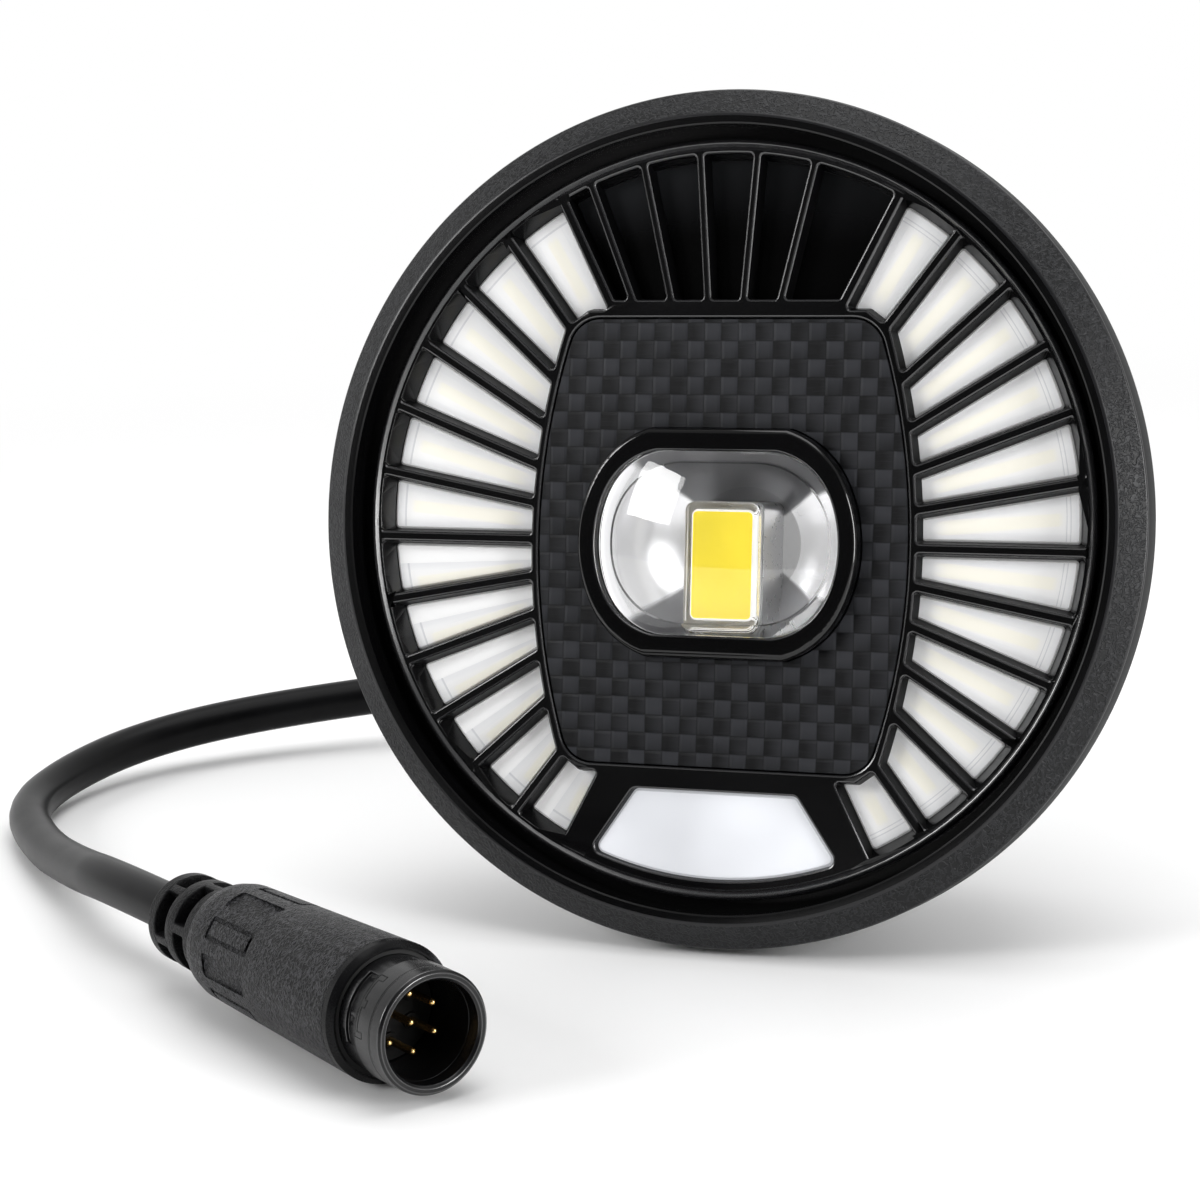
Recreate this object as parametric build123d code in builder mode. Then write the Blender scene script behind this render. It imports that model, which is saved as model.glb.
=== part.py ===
"""Round LED bicycle headlight with a spoked light ring, a double-D main lens and a seven-pin lead."""
import os
from math import atan2, cos, degrees, pi, radians, sin, sqrt, tan

from build123d import *

os.makedirs("parts", exist_ok=True)

# Lamp head, in millimetres. Depths count backwards from the front of the bezel's lip.
lean = 10.5                  # degrees that the head leans back, on its ring and its foot
bezel_radius = 65.0
bezel_wall = 5.5             # between the outer band and the mouth
lip_inset = 4.0              # width of the cone between the band and the lip
band_front = 2.8
band_back = 9.1
ledge_depth = 6.0
ledge_width = 1.6            # how far the ledge under the frame stands into the mouth
edge_round = 0.5
lip_radius = bezel_radius - lip_inset
mouth_radius = bezel_radius - bezel_wall
ledge_radius = mouth_radius - ledge_width

frame_gap = 0.3              # between the face frame and the bezel
frame_front = 3.4
frame_thickness = 4.0
flange_thickness = 1.5
rim_width = 1.5
rim_rise = 0.5
frame_radius = ledge_radius - frame_gap
flange_radius = mouth_radius - frame_gap
frame_back = frame_front + frame_thickness
flange_back = frame_back + flange_thickness
layout_drop = 3.5            # the spokes, panel and lens are centred this far below the ring's centre

spoke_pitch = 10.5           # degrees
windows_a_side = 12
spoke_width = 1.5
spoke_foot = 2.3             # width of a spoke where the drafted pocket ends
pocket_radius = frame_radius - rim_width
pocket_lean = 1.4            # how far the pockets' outer ends lean in
pocket_foot_radius = pocket_radius - pocket_lean
pad_depth = 6.0              # face of the frosted windows
window_corner = 0.55

panel_half_width = 29.3
panel_half_height = 34.0
panel_end_half_width = 23.6
panel_corner = 5.0
panel_thickness = 1.5
panel_clearance = 0.2
corner_cut = 0.45            # length of the windows' cut corners, as a share of that corner
panel_web = 1.3              # web of the frame between the panel and the windows
panel_sink = 0.3             # panel's face below the frame's face

bay_floor_height = 33.4      # lower edge of the ribbed bay, above the ring's centre
bay_ribs = (-22.0, -13.3, -4.4, 4.4, 13.3)
rib_width = 1.2
bay_panel_depth = 6.6

marker_top = -41.2           # position light, below the ring's centre
marker_half_width = 13.0
marker_spread = 0.68
marker_border = 1.5
marker_depth = 4.3
marker_edge = 0.4
marker_board_gap = 1.5       # top of the small board below the top of the position light
marker_leds = 4
marker_led = 3.0
marker_led_pitch = 6.0

plate_thickness = 1.4
strip_thickness = 0.6
board_thickness = 1.0
strip_width = 1.9
strip_inset = 2.6
fit = 0.1                    # clearance of the pieces that drop into the frame
overrun = 1.0                # how far a cutting tool runs past the face that it cuts
marker_corner = 1.2
bay_edge_margin = 0.4        # the bay's outer ribs are wider than its spokes by this
bay_rim_margin = 0.6         # rim that stays outside the bay's pockets
frame_step = 0.4             # the frame's back is smaller than its face by this
guide_margin = 1.5           # degrees that a light guide runs past its last window
guide_reach = 0.4            # the light guides and boards reach this far behind the panel
board_rim = 2.6              # the light boards end this far inside the carrier
board_corner = 1.0

# Main lens
lens_diameter = 38.4
lens_height = 29.4
bezel_rim = 3.2
lens_bezel_front = 0.8
lens_bezel_corner = 6.0
lens_bezel_round = 0.9
lens_bezel_reach = 1.8       # how far the lens bezel's flange reaches behind the frame
lens_flange_rim = 2.1
lens_flange_front = 3.0
lens_flange_thickness = 1.6
lens_wall = 2.2
dome_rise = 4.4
dome_edge = 2.4              # depth of the dome's edge inside the lens bezel
lens_seal_thickness = 0.8
reflector_flange = 1.2
reflector_back = 18.5
reflector_wall = 1.0
reflector_rim = 0.6          # the reflector's body stands out past the lens by this
reflector_lip = 0.4          # and its mouth stays inside the lens by this
reflector_floor_radius = 8.5
bowl_belly_out = 2.2         # how far the bowl's middle stands out from a straight cone
bowl_belly_back = 1.6

led_drop = 3.2               # centre of the light source below the lens centre
led_width = 9.5
led_height = 16.2
led_cover_width = 11.4
led_cover_height = 18.8
led_front = 6.0
phosphor_thickness = 0.6
substrate_thickness = 0.8
substrate_margin = 0.5
led_cover_rise = 1.6
pedestal_margin = 0.2
pedestal_foot = 3.0
pedestal_reach = 7.0         # how far the pedestal's foot stands out on each side
pedestal_foot_corner = 3.0
pedestal_corner = 1.4
led_corner = 1.3
phosphor_corner = 0.8
led_cover_round = 0.6

# Rear housing
carrier_thickness = 2.5
carrier_inset = 2.5           # between the mouth and the carrier
carrier_radius = mouth_radius - carrier_inset
carrier_rim = 1.8
carrier_gap = 0.6            # between the carrier and the reflector's body
collar_gap = 0.2
marker_board_rim = 0.9       # between the small board and the carrier's rim
seal_thickness = 1.2
seal_width = 1.3
housing_flange_inset = 1.6   # the housing's flange is smaller than the bezel by this
housing_flange_thickness = 2.5
shoulder_inset = 5.0
wall = 2.5
back_depth = 40.0
back_inset = 15.0            # the housing narrows by this towards its back
back_flare = 3.0             # its side is wider than its back by this, at the last corner
back_chamfer = 6.0
shoulder_drop = 0.6
floor_round = 2.0
carrier_land = 2.5           # width of the ledge behind the carrier
screw_count = 6
screw_start = 30.0
screw_radius = 1.25
screw_head_radius = 2.1
housing_flange_radius = bezel_radius - housing_flange_inset
screw_circle = housing_flange_radius - screw_head_radius
shoulder_radius = bezel_radius - shoulder_inset
back_radius = bezel_radius - back_inset
screw_head_height = 1.5
screw_grip = 4.6
fin_height = 7.0
fin_thickness = 2.2
fin_pitch = 6.0
fin_first = 15.0
fins_a_side = 5
fin_inset = 4.0
fin_circle = back_radius - fin_inset
fin_draft = 4.0
fin_clearance = 1.5

driver_front = 22.0
driver_thickness = 1.6
driver_side_gap = 16.0       # between the board's sides and the housing's back edge
driver_end_gap = 21.0
driver_width = 2 * (back_radius - driver_side_gap)
driver_height = 2 * (back_radius - driver_end_gap)
post_inset = 6.5
post_x = driver_width / 2 - post_inset
post_y = driver_height / 2 - post_inset
post_radius = 3.2
driver_corner = 4.0
driver_hole_gap = 1.0        # between the board and the pedestal
coil_radius = 6.0
chip_length = 10.0
chip_width = 8.0
capacitor_radius = 3.0
part_height = 6.0
part_x = post_x - 8.5        # the board's parts keep clear of the posts
part_y = post_y - 10.5

valve_height = 18.0
valve_radius = 6.2
valve_stem = 3.0
valve_reach = 1.0
valve_cap = 3.8
valve_bevel = 1.2
valve_slots = 4
valve_slot_width = 2.4
valve_slot_height = 1.4

gland_drop = 23.4
gland_thread = 6.0
gland_hex = 8.4              # circumscribed radius of the hexagons
gland_gap = 0.25             # between the lead and the gland's seal
gland_seal_wall = 1.0
gland_reach = 3.0            # how far the gland stands into the housing
nut_taper = 3.2
nut_mouth = 0.8              # the nut's mouth is wider than the boot by this
nut_chamfer = 0.6
nut_lip = 2.0
lead_inside = 8.0            # how far the lead goes on inside the housing
gland_hex_thickness = 4.0
gland_nut_length = 8.5
boot_length = 18.0
boot_radius = 6.0
boot_tip_radius = 4.55
boot_rings = 6
boot_groove = 0.8
groove_share = 0.45          # a groove's width as a share of the rings' spacing

# Mounting ears
pivot_reach = 6.5             # the bracket's bolt lies this far behind the back
pivot_bore = 3.2
ear_radius = 6.5
ear_thickness = 5.0
ear_gap = 12.0
pivot_depth = back_depth + pivot_reach
foot_thickness = 4.0
foot_corner = 2.0
web_reach = 4.0              # the ear's web meets its round end this far above the bore
foot_width = 14.0
foot_low = back_radius - 4.5 # lower and upper edges of the ears' feet, below the ring's centre
foot_high = 32.5
foot_screw_x = ear_gap / 2 + 9.5
foot_screw_height = (foot_low + foot_high) / 2
ear_screw_radius = 2.0
ear_screw_head_radius = 3.6
ear_screw_head_height = 2.2

# Lead and connector
cord_radius = 3.65
exit_run = 21.8              # straight reach out of the boot
entry_run = 24.4             # straight reach into the strain relief
connector_front = (-15.8, -98.4)
connector_turn = -34.8       # degrees from the X axis towards the front
grip_front_radius = 10.0
grip_back_radius = 8.9
grip_start = 10.6
grip_end = 56.0
grip_shoulder = 4.0          # length of the grip's rounded back end
grip_edge = 0.8
recess_count = 10            # recesses round the grip, every other one with a pad in it
recess_turn = 2.0            # degrees
recess_place = 42.2
recess_length = 12.5
recess_width = 3.6
recess_floor = 8.7           # distance of their floors from the axis
recess_corner = 0.5
recess_groove = 0.7          # groove round a pad
relief_end = 69.6
relief_radius = 7.2
relief_tip = 6.8
relief_core = 4.9
relief_rows = ((58.0, 61.2, 28.0), (64.0, 67.3, 54.0))   # start, end and turn of each row of slots
relief_slots = 5
relief_slot_sweep = 60.0     # degrees
barrel_radius = 8.6
barrel_bore = 7.2
barrel_smooth = 6.2
barrel_neck = 8.2
barrel_body = 8.0
barrel_edge = 0.4
barrel_tail = 24.0
notch_front = 8.2            # slots round the barrel's neck, each with two short legs
notch_back = 9.2
notch_floor = 7.7
notch_from = 118.0           # degrees
notch_to = 192.0
notch_legs = ((118.0, 125.0, 7.0), (163.0, 170.0, 7.5))   # from, to and depth that it starts at
notch_count = 3
cavity_depth = 12.0
carrier_disc = 4.0
pin_radius = 0.55
pin_reach = 6.0
pin_tail = 2.5
pin_tip = 0.25
pin_circle = 4.1
pin_turn = 30.0
pin_collar = 0.6
pin_collar_height = 0.5
lead_overlap = 4.0           # the lead ends this far behind the barrel
pins_around = 6
connector_seal_width = 0.9
connector_seal_radius = 8.9
connector_seal_sink = 0.3

# Places that follow from the sizes
lean_sin = sin(radians(lean))
lean_cos = cos(radians(lean))
centre_height = bezel_radius * lean_cos + band_back * lean_sin
fin_back = back_depth + fin_height
fin_top = sqrt(fin_circle ** 2 - fin_first ** 2) - fin_draft
front_reach = -lip_radius * lean_sin
back_reach = fin_top * lean_sin + fin_back * lean_cos
face_y = -(front_reach + back_reach) / 2
pivot_height = -(centre_height - ear_radius - pivot_depth * lean_sin) / lean_cos

lamp = Plane(origin=(0, face_y, centre_height), x_dir=(1, 0, 0), z_dir=(0, -lean_cos, lean_sin))
section = Plane(origin=lamp.origin, x_dir=lamp.x_dir, z_dir=-lamp.y_dir)
side = Plane(origin=lamp.origin, x_dir=lamp.y_dir, z_dir=lamp.x_dir)
optical_axis = Axis(lamp.origin, lamp.z_dir)


def face(depth):
    """Plane across the optical axis at a depth behind the lip."""
    return lamp.offset(-depth)


def section_of(x, y):
    """Half plane through an axis parallel to the optical axis, at a place of the face."""
    origin = lamp.from_local_coords(Vector(x, y, 0))
    return Plane(origin=origin, x_dir=lamp.x_dir, z_dir=-lamp.y_dir)


def axis_of(x, y):
    """Axis parallel to the optical axis, at a place of the face."""
    return Axis(lamp.from_local_coords(Vector(x, y, 0)), lamp.z_dir)


def finish(piece, name):
    """Label a finished piece and write it."""
    piece.part.label = name
    export_step(piece.part, f"parts/{name}.step")


def revolved(points, plane=section, axis=optical_axis):
    """Solid of revolution from a closed outline of (radius, forward) points."""
    with BuildPart() as body:
        with BuildSketch(plane):
            with BuildLine():
                Polyline(*points, close=True)
            make_face()
        revolve(axis=axis)
    return body.part


def panel_outline(margin=0.0, cut_corners=False):
    """Barrel-shaped outline of the centre panel, grown by a margin."""
    half = panel_half_width + margin
    end = panel_end_half_width + margin
    top = panel_half_height + margin
    with BuildSketch(Plane.XY, mode=Mode.PRIVATE) as outline:
        with BuildLine():
            right = ThreePointArc((end, -top), (half, 0), (end, top))
            upper = Line(right @ 1, (-end, top))
            left = ThreePointArc(upper @ 1, (-half, 0), (-end, -top))
            Line(left @ 1, right @ 0)
        make_face()
        if cut_corners:
            chamfer(outline.vertices(), length=corner_cut * (panel_corner + margin))
        else:
            fillet(outline.vertices(), radius=panel_corner + margin)
    return outline.sketch_local.moved(Location((0, -layout_drop, 0)))


def double_d(diameter, height, corner):
    """Circle cut by a flat at the top and the bottom, with blended corners."""
    with BuildSketch(Plane.XY, mode=Mode.PRIVATE) as outline:
        Circle(diameter / 2)
        Rectangle(diameter, height, mode=Mode.INTERSECT)
        fillet(outline.vertices(), radius=corner)
    return outline.sketch_local.moved(Location((0, -layout_drop, 0)))


def spoke_bars(width, angles):
    """Bars that run out from the layout's centre at the given angles."""
    with BuildSketch(Plane.XY, mode=Mode.PRIVATE) as bars:
        for angle in angles:
            with Locations(Location((0, -layout_drop, 0), (0, 0, angle))):
                Rectangle(bezel_radius, width, align=(Align.MIN, Align.CENTER))
    return bars.sketch_local


def sector(from_angle, to_angle):
    """Triangle from the layout's centre that holds the face between two angles."""
    beyond = 3 * bezel_radius
    corners = [(0, -layout_drop)]
    for angle in (from_angle, to_angle):
        corners.append((beyond * cos(radians(angle)), beyond * sin(radians(angle)) - layout_drop))
    with BuildSketch(Plane.XY, mode=Mode.PRIVATE) as wedge:
        with BuildLine():
            Polyline(*corners, close=True)
        make_face()
    return wedge.sketch_local


window_span = spoke_pitch * windows_a_side / 2
right_angles = [index * spoke_pitch - window_span for index in range(windows_a_side + 1)]
left_angles = [180 - angle for angle in right_angles]
bay_half_angle = 90 - window_span


def windows(angles, width, outer):
    """Wedge windows between the spokes of one side."""
    with BuildSketch(Plane.XY, mode=Mode.PRIVATE) as zone:
        Circle(outer)
        add(sector(min(angles), max(angles)), mode=Mode.INTERSECT)
        add(panel_outline(panel_web, cut_corners=True), mode=Mode.SUBTRACT)
        add(spoke_bars(width, angles), mode=Mode.SUBTRACT)
        fillet(zone.vertices(), radius=window_corner)
    return zone.sketch_local


def bay_zone(outer, width, rise=0.0):
    """Zone of the dark bay at the top of the frame, between its two outer spokes."""
    edges = (90 - bay_half_angle, 90 + bay_half_angle)
    with BuildSketch(Plane.XY, mode=Mode.PRIVATE) as zone:
        Circle(outer)
        add(sector(*edges), mode=Mode.INTERSECT)
        with Locations((0, bay_floor_height + rise)):
            Rectangle(2 * bezel_radius, bezel_radius, align=(Align.CENTER, Align.MIN),
                      mode=Mode.INTERSECT)
        if width > 0:
            add(spoke_bars(width, edges), mode=Mode.SUBTRACT)
    return zone.sketch_local


def bay_pockets(outer, width):
    """The bay's zone, cut by its ribs."""
    with BuildSketch(Plane.XY, mode=Mode.PRIVATE) as zone:
        add(bay_zone(outer, width + bay_edge_margin))
        add(spoke_bars(width, [90 - angle for angle in bay_ribs]), mode=Mode.SUBTRACT)
        fillet(zone.vertices(), radius=window_corner)
    return zone.sketch_local


def marker_zone(outer, margin=0.0):
    """Trapezoid with a round foot, for the position light."""
    half = marker_half_width + margin
    top = marker_top + margin
    depth = bezel_radius
    with BuildSketch(Plane.XY, mode=Mode.PRIVATE) as zone:
        with BuildLine():
            Polyline((-half, top), (half, top), (half + marker_spread * depth, top - depth),
                     (-half - marker_spread * depth, top - depth), close=True)
        make_face()
        Circle(outer + margin, mode=Mode.INTERSECT)
        fillet(zone.vertices(), radius=marker_corner)
    return zone.sketch_local


def depth_of(shape):
    """Depth of a shape's centre behind the lip."""
    return -lamp.to_local_coords(shape.center()).Z


def is_rim(edge):
    """Whether a circular edge belongs to the ring's outer faces."""
    return edge.radius > mouth_radius - fit


# Bezel ring
bezel = revolved([
    (mouth_radius, 0), (lip_radius, 0), (bezel_radius, -band_front), (bezel_radius, -band_back),
    (mouth_radius, -band_back), (mouth_radius, -frame_back), (ledge_radius, -frame_back),
    (ledge_radius, -ledge_depth), (mouth_radius, -ledge_depth)])
with BuildPart() as bezel_ring:
    add(bezel)
    with Locations(face(band_back)):
        with PolarLocations(screw_circle, screw_count, start_angle=screw_start):
            Hole(screw_radius, depth=screw_grip - housing_flange_thickness)
    rims = bezel_ring.edges().filter_by(GeomType.CIRCLE).filter_by(is_rim)
    fillet(rims.filter_by(lambda edge: depth_of(edge) < band_front + fit), edge_round)
finish(bezel_ring, "bezel_ring")

# Face frame: rim, spokes, bay ribs and the seats of the panel and the lens bezel
lens_outer = (lens_diameter + 2 * bezel_rim, lens_height + 2 * bezel_rim)
pocket_foot = revolved([
    (0, -frame_front + overrun), (pocket_radius, -frame_front + overrun),
    (pocket_radius, -frame_front), (pocket_foot_radius, -pad_depth),
    (pocket_foot_radius, -frame_back - overrun), (0, -frame_back - overrun)])
draft = degrees(atan2((spoke_foot - spoke_width) / 2, pad_depth - frame_front))
with BuildPart() as pockets:
    for angles in (left_angles, right_angles):
        with BuildSketch(face(frame_front)):
            add(windows(angles, spoke_width, pocket_radius))
        extrude(amount=-(pad_depth - frame_front), taper=draft)
        with BuildSketch(face(pad_depth)):
            add(windows(angles, spoke_foot, pocket_foot_radius))
        extrude(amount=-(frame_back - pad_depth))
    with BuildSketch(face(frame_front)):
        add(bay_pockets(pocket_radius - bay_rim_margin, rib_width))
    extrude(amount=-(bay_panel_depth - frame_front), taper=draft / 2)
    add(pocket_foot, mode=Mode.INTERSECT)

bay_panel_radius = pocket_radius - bay_rim_margin + 0.2
bay_panel_drop = 0.6         # the bay's dark panel reaches this far behind the bay's lower edge
with BuildPart() as face_frame:
    add(revolved([
        (0, -frame_front), (pocket_radius + 0.2, -frame_front),
        (pocket_radius + 0.6, -frame_front + rim_rise),
        (frame_radius - 0.3, -frame_front + rim_rise), (frame_radius, -frame_front),
        (frame_radius, -frame_back), (flange_radius, -frame_back),
        (flange_radius, -flange_back), (frame_radius - frame_step, -flange_back),
        (frame_radius - frame_step, -frame_back), (0, -frame_back)]))
    add(pockets.part, mode=Mode.SUBTRACT)
    with BuildSketch(face(bay_panel_depth)):
        add(bay_zone(bay_panel_radius, 0, -bay_panel_drop))
    extrude(amount=-(frame_back - bay_panel_depth), mode=Mode.SUBTRACT)
    with BuildSketch(face(frame_front)):
        add(marker_zone(pocket_foot_radius))
    extrude(amount=-(frame_back - frame_front), mode=Mode.SUBTRACT)
    with BuildSketch(face(frame_front)):
        add(panel_outline(panel_clearance))
    extrude(amount=-(panel_sink + panel_thickness), mode=Mode.SUBTRACT)
    with BuildSketch(face(frame_front)):
        add(double_d(lens_outer[0] + 2 * fit, lens_outer[1] + 2 * fit, lens_bezel_corner))
    extrude(amount=-(frame_back - frame_front), mode=Mode.SUBTRACT)
finish(face_frame, "face_frame")

# Dark panel behind the ribs of the bay
with BuildPart() as bay_panel:
    with BuildSketch(face(bay_panel_depth)):
        add(bay_zone(bay_panel_radius - fit, 2 * fit, fit - bay_panel_drop))
    extrude(amount=-(frame_back - bay_panel_depth))
finish(bay_panel, "bay_panel")

# Frosted light guides, one plate a side with a raised pad in each window
plate_back = frame_back + plate_thickness
board_front = plate_back + strip_thickness
board_back = board_front + board_thickness
plate_outer = frame_radius - frame_step - fit


def guide_zone(angles, outer, margin):
    """Crescent behind the windows of one side."""
    with BuildSketch(Plane.XY, mode=Mode.PRIVATE) as zone:
        Circle(outer)
        add(sector(min(angles) - margin, max(angles) + margin), mode=Mode.INTERSECT)
        add(panel_outline(-guide_reach), mode=Mode.SUBTRACT)
    return zone.sketch_local


def guide_plate(angles, name):
    """Light guide of one side."""
    with BuildPart() as plate:
        with BuildSketch(face(frame_back)):
            add(guide_zone(angles, plate_outer, guide_margin))
        extrude(amount=-plate_thickness)
        with BuildSketch(face(frame_back)):
            add(windows(angles, spoke_foot + 2 * fit, pocket_foot_radius - fit))
        extrude(amount=frame_back - pad_depth)
    finish(plate, name)


def led_bars(angles):
    """One narrow light strip behind each window."""
    middles = [(low + high) / 2 for low, high in zip(angles, angles[1:])]
    with BuildSketch(Plane.XY, mode=Mode.PRIVATE) as bars:
        add(spoke_bars(strip_width, middles))
        Circle(pocket_foot_radius - strip_inset, mode=Mode.INTERSECT)
        add(panel_outline(panel_web + strip_inset), mode=Mode.SUBTRACT)
    return bars.sketch_local


def light_board(angles, name):
    """Board of one side, carrying the light strips."""
    with BuildPart() as board:
        with BuildSketch(face(board_front)):
            add(guide_zone(angles, carrier_radius - board_rim, guide_margin))
        extrude(amount=-board_thickness)
    finish(board, name)


def light_strips(angles, name):
    """The strips of one side."""
    with BuildPart() as strips:
        with BuildSketch(face(plate_back)):
            add(led_bars(angles))
        extrude(amount=-strip_thickness)
    finish(strips, name)


for hand, angles in (("left", left_angles), ("right", right_angles)):
    guide_plate(angles, f"light_guide_{hand}")
    light_board(angles, f"led_board_{hand}")
    light_strips(angles, f"led_strips_{hand}")

# Position light: a milky lens and its small board
with BuildPart() as position_lens:
    with BuildSketch(face(frame_back)):
        add(marker_zone(pocket_foot_radius, marker_border))
    extrude(amount=-plate_thickness)
    with BuildSketch(face(frame_back)):
        add(marker_zone(pocket_foot_radius, -fit))
    extrude(amount=frame_back - marker_depth)
    pad = position_lens.faces().filter_by(GeomType.PLANE).sort_by(depth_of)[0]
    chamfer(pad.edges(), marker_edge)
finish(position_lens, "position_lens")

marker_board_top = marker_top - marker_board_gap
marker_board_low = -sqrt((carrier_radius - carrier_rim - marker_board_rim) ** 2
                         - marker_half_width ** 2)
marker_board_place = (0, (marker_board_top + marker_board_low) / 2)
with BuildPart() as position_board:
    with BuildSketch(face(board_front)):
        with Locations(marker_board_place):
            RectangleRounded(2 * marker_half_width, marker_board_top - marker_board_low,
                             board_corner)
    extrude(amount=-board_thickness)
    with BuildSketch(face(plate_back)):
        with Locations(marker_board_place):
            with GridLocations(marker_led_pitch, 1, marker_leds, 1):
                Rectangle(marker_led, marker_led)
    extrude(amount=-strip_thickness)
finish(position_board, "position_board")

# Centre panel
with BuildPart() as centre_panel:
    with BuildSketch(face(frame_front + panel_sink)):
        add(panel_outline())
        add(double_d(lens_outer[0] + 2 * fit, lens_outer[1] + 2 * fit, lens_bezel_corner),
            mode=Mode.SUBTRACT)
    extrude(amount=-panel_thickness)
finish(centre_panel, "centre_panel")

# Lens bezel, with a flange behind the frame and a recess for the lens, seal and reflector
recess = (lens_diameter + 2 * lens_flange_rim, lens_height + 2 * lens_flange_rim)
flange_rim = bezel_rim + lens_bezel_reach
seal_front = lens_flange_front + lens_flange_thickness
reflector_front = seal_front + lens_seal_thickness
collar_front = reflector_front + reflector_flange
with BuildPart() as lens_bezel:
    with BuildSketch(face(frame_back)):
        add(double_d(*lens_outer, lens_bezel_corner))
    extrude(amount=frame_back - lens_bezel_front)
    front_face = lens_bezel.faces().filter_by(GeomType.PLANE).sort_by(depth_of)[0]
    fillet(front_face.edges(), lens_bezel_round)
    with BuildSketch(face(frame_back)):
        add(double_d(lens_diameter + 2 * flange_rim, lens_height + 2 * flange_rim,
                     lens_bezel_corner))
    extrude(amount=-plate_thickness)
    with BuildSketch(face(lens_bezel_front)):
        add(double_d(lens_diameter, lens_height, lens_bezel_corner))
    extrude(amount=-plate_back, mode=Mode.SUBTRACT)
    with BuildSketch(face(lens_flange_front)):
        add(double_d(*recess, lens_bezel_corner))
    extrude(amount=-plate_back, mode=Mode.SUBTRACT)
finish(lens_bezel, "lens_bezel")

# Main lens: a clear dome with a flange, its seal, and the bright bowl behind it
flange_size = (recess[0] - 2 * fit, recess[1] - 2 * fit)
dome_radius = ((lens_diameter / 2) ** 2 + dome_rise ** 2) / (2 * dome_rise)
dome_centre = dome_rise - dome_edge - dome_radius
layout_section = section_of(0, -layout_drop)
layout_axis = axis_of(0, -layout_drop)


def cap(radius, half, depth):
    """Solid under a sphere on the layout's axis, out to a half width and down to a depth."""
    rim = dome_centre + sqrt(radius ** 2 - half ** 2)
    middle = half / 2
    with BuildPart(mode=Mode.PRIVATE) as dome:
        with BuildSketch(layout_section):
            with BuildLine():
                ThreePointArc((0, dome_centre + radius),
                              (middle, dome_centre + sqrt(radius ** 2 - middle ** 2)), (half, rim))
                Polyline((half, rim), (half, -depth), (0, -depth), (0, dome_centre + radius))
            make_face()
        revolve(axis=layout_axis)
    return dome.part


dome_solid = cap(dome_radius, lens_diameter / 2 + 1, seal_front)
dome_hollow = cap(dome_radius - lens_wall, lens_diameter / 2 - lens_wall + 1, seal_front + 1)
with BuildPart() as main_lens:
    with BuildSketch(face(seal_front)):
        add(double_d(lens_diameter - 2 * fit, lens_height - 2 * fit, lens_bezel_corner))
    extrude(amount=seal_front + dome_rise)
    add(dome_solid, mode=Mode.INTERSECT)
    with BuildSketch(face(seal_front)):
        add(double_d(*flange_size, lens_bezel_corner))
    extrude(amount=lens_flange_thickness)
    with BuildSketch(face(seal_front)):
        add(double_d(lens_diameter - 2 * lens_wall, lens_height - 2 * lens_wall,
                     lens_bezel_corner))
    hollow = extrude(amount=seal_front + dome_rise, mode=Mode.PRIVATE)
    add(hollow & dome_hollow, mode=Mode.SUBTRACT)
finish(main_lens, "main_lens")

with BuildPart() as lens_seal:
    with BuildSketch(face(seal_front)):
        add(double_d(*flange_size, lens_bezel_corner))
        add(double_d(lens_diameter, lens_height, lens_bezel_corner), mode=Mode.SUBTRACT)
    extrude(amount=-lens_seal_thickness)
finish(lens_seal, "lens_seal")

bowl_rim = lens_diameter / 2 - reflector_wall / 2
bowl_floor = reflector_back - reflector_wall
with BuildPart(mode=Mode.PRIVATE) as bowl:
    with BuildSketch(layout_section):
        with BuildLine():
            rim_point = (bowl_rim, -reflector_front)
            floor_point = (reflector_floor_radius, -bowl_floor)
            belly_point = ((bowl_rim + reflector_floor_radius) / 2 + bowl_belly_out,
                           -(reflector_front + bowl_floor) / 2 - bowl_belly_back)
            ThreePointArc(rim_point, belly_point, floor_point)
            Polyline(floor_point, (0, -bowl_floor), (0, -reflector_front), rim_point)
        make_face()
    revolve(axis=layout_axis)

body_size = (lens_diameter + 2 * reflector_rim, lens_height + 2 * reflector_rim)
well_size = (lens_diameter - 2 * reflector_lip, lens_height - 2 * reflector_lip)
pedestal = (led_cover_width + 2 * pedestal_margin, led_cover_height + 2 * pedestal_margin)
led_place = (0, -layout_drop - led_drop)
with BuildPart() as main_reflector:
    with BuildSketch(face(reflector_front)):
        add(double_d(*body_size, lens_bezel_corner))
    extrude(amount=-(reflector_back - reflector_front))
    with BuildSketch(face(reflector_front)):
        add(double_d(*flange_size, lens_bezel_corner))
    extrude(amount=-reflector_flange)
    with BuildSketch(face(reflector_front)):
        add(double_d(*well_size, lens_bezel_corner))
    well = extrude(amount=-(reflector_back - reflector_front), mode=Mode.PRIVATE)
    add(well & bowl.part, mode=Mode.SUBTRACT)
    with BuildSketch(face(reflector_front)):
        with Locations(led_place):
            RectangleRounded(pedestal[0] + 2 * fit, pedestal[1] + 2 * fit, pedestal_corner + fit)
    extrude(amount=-reflector_back, mode=Mode.SUBTRACT)
finish(main_reflector, "main_reflector")

# Light source: pedestal, substrate, phosphor and its clear cover
phosphor_back = led_front + phosphor_thickness
substrate_back = phosphor_back + substrate_thickness
inner_back = back_depth - wall
with BuildPart() as led_pedestal:
    with BuildSketch(face(substrate_back)):
        with Locations(led_place):
            RectangleRounded(*pedestal, pedestal_corner)
    extrude(amount=-(inner_back - substrate_back))
    with BuildSketch(face(inner_back)):
        with Locations(led_place):
            RectangleRounded(pedestal[0] + 2 * pedestal_reach, pedestal[1], pedestal_foot_corner)
    extrude(amount=pedestal_foot)
finish(led_pedestal, "led_pedestal")

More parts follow.
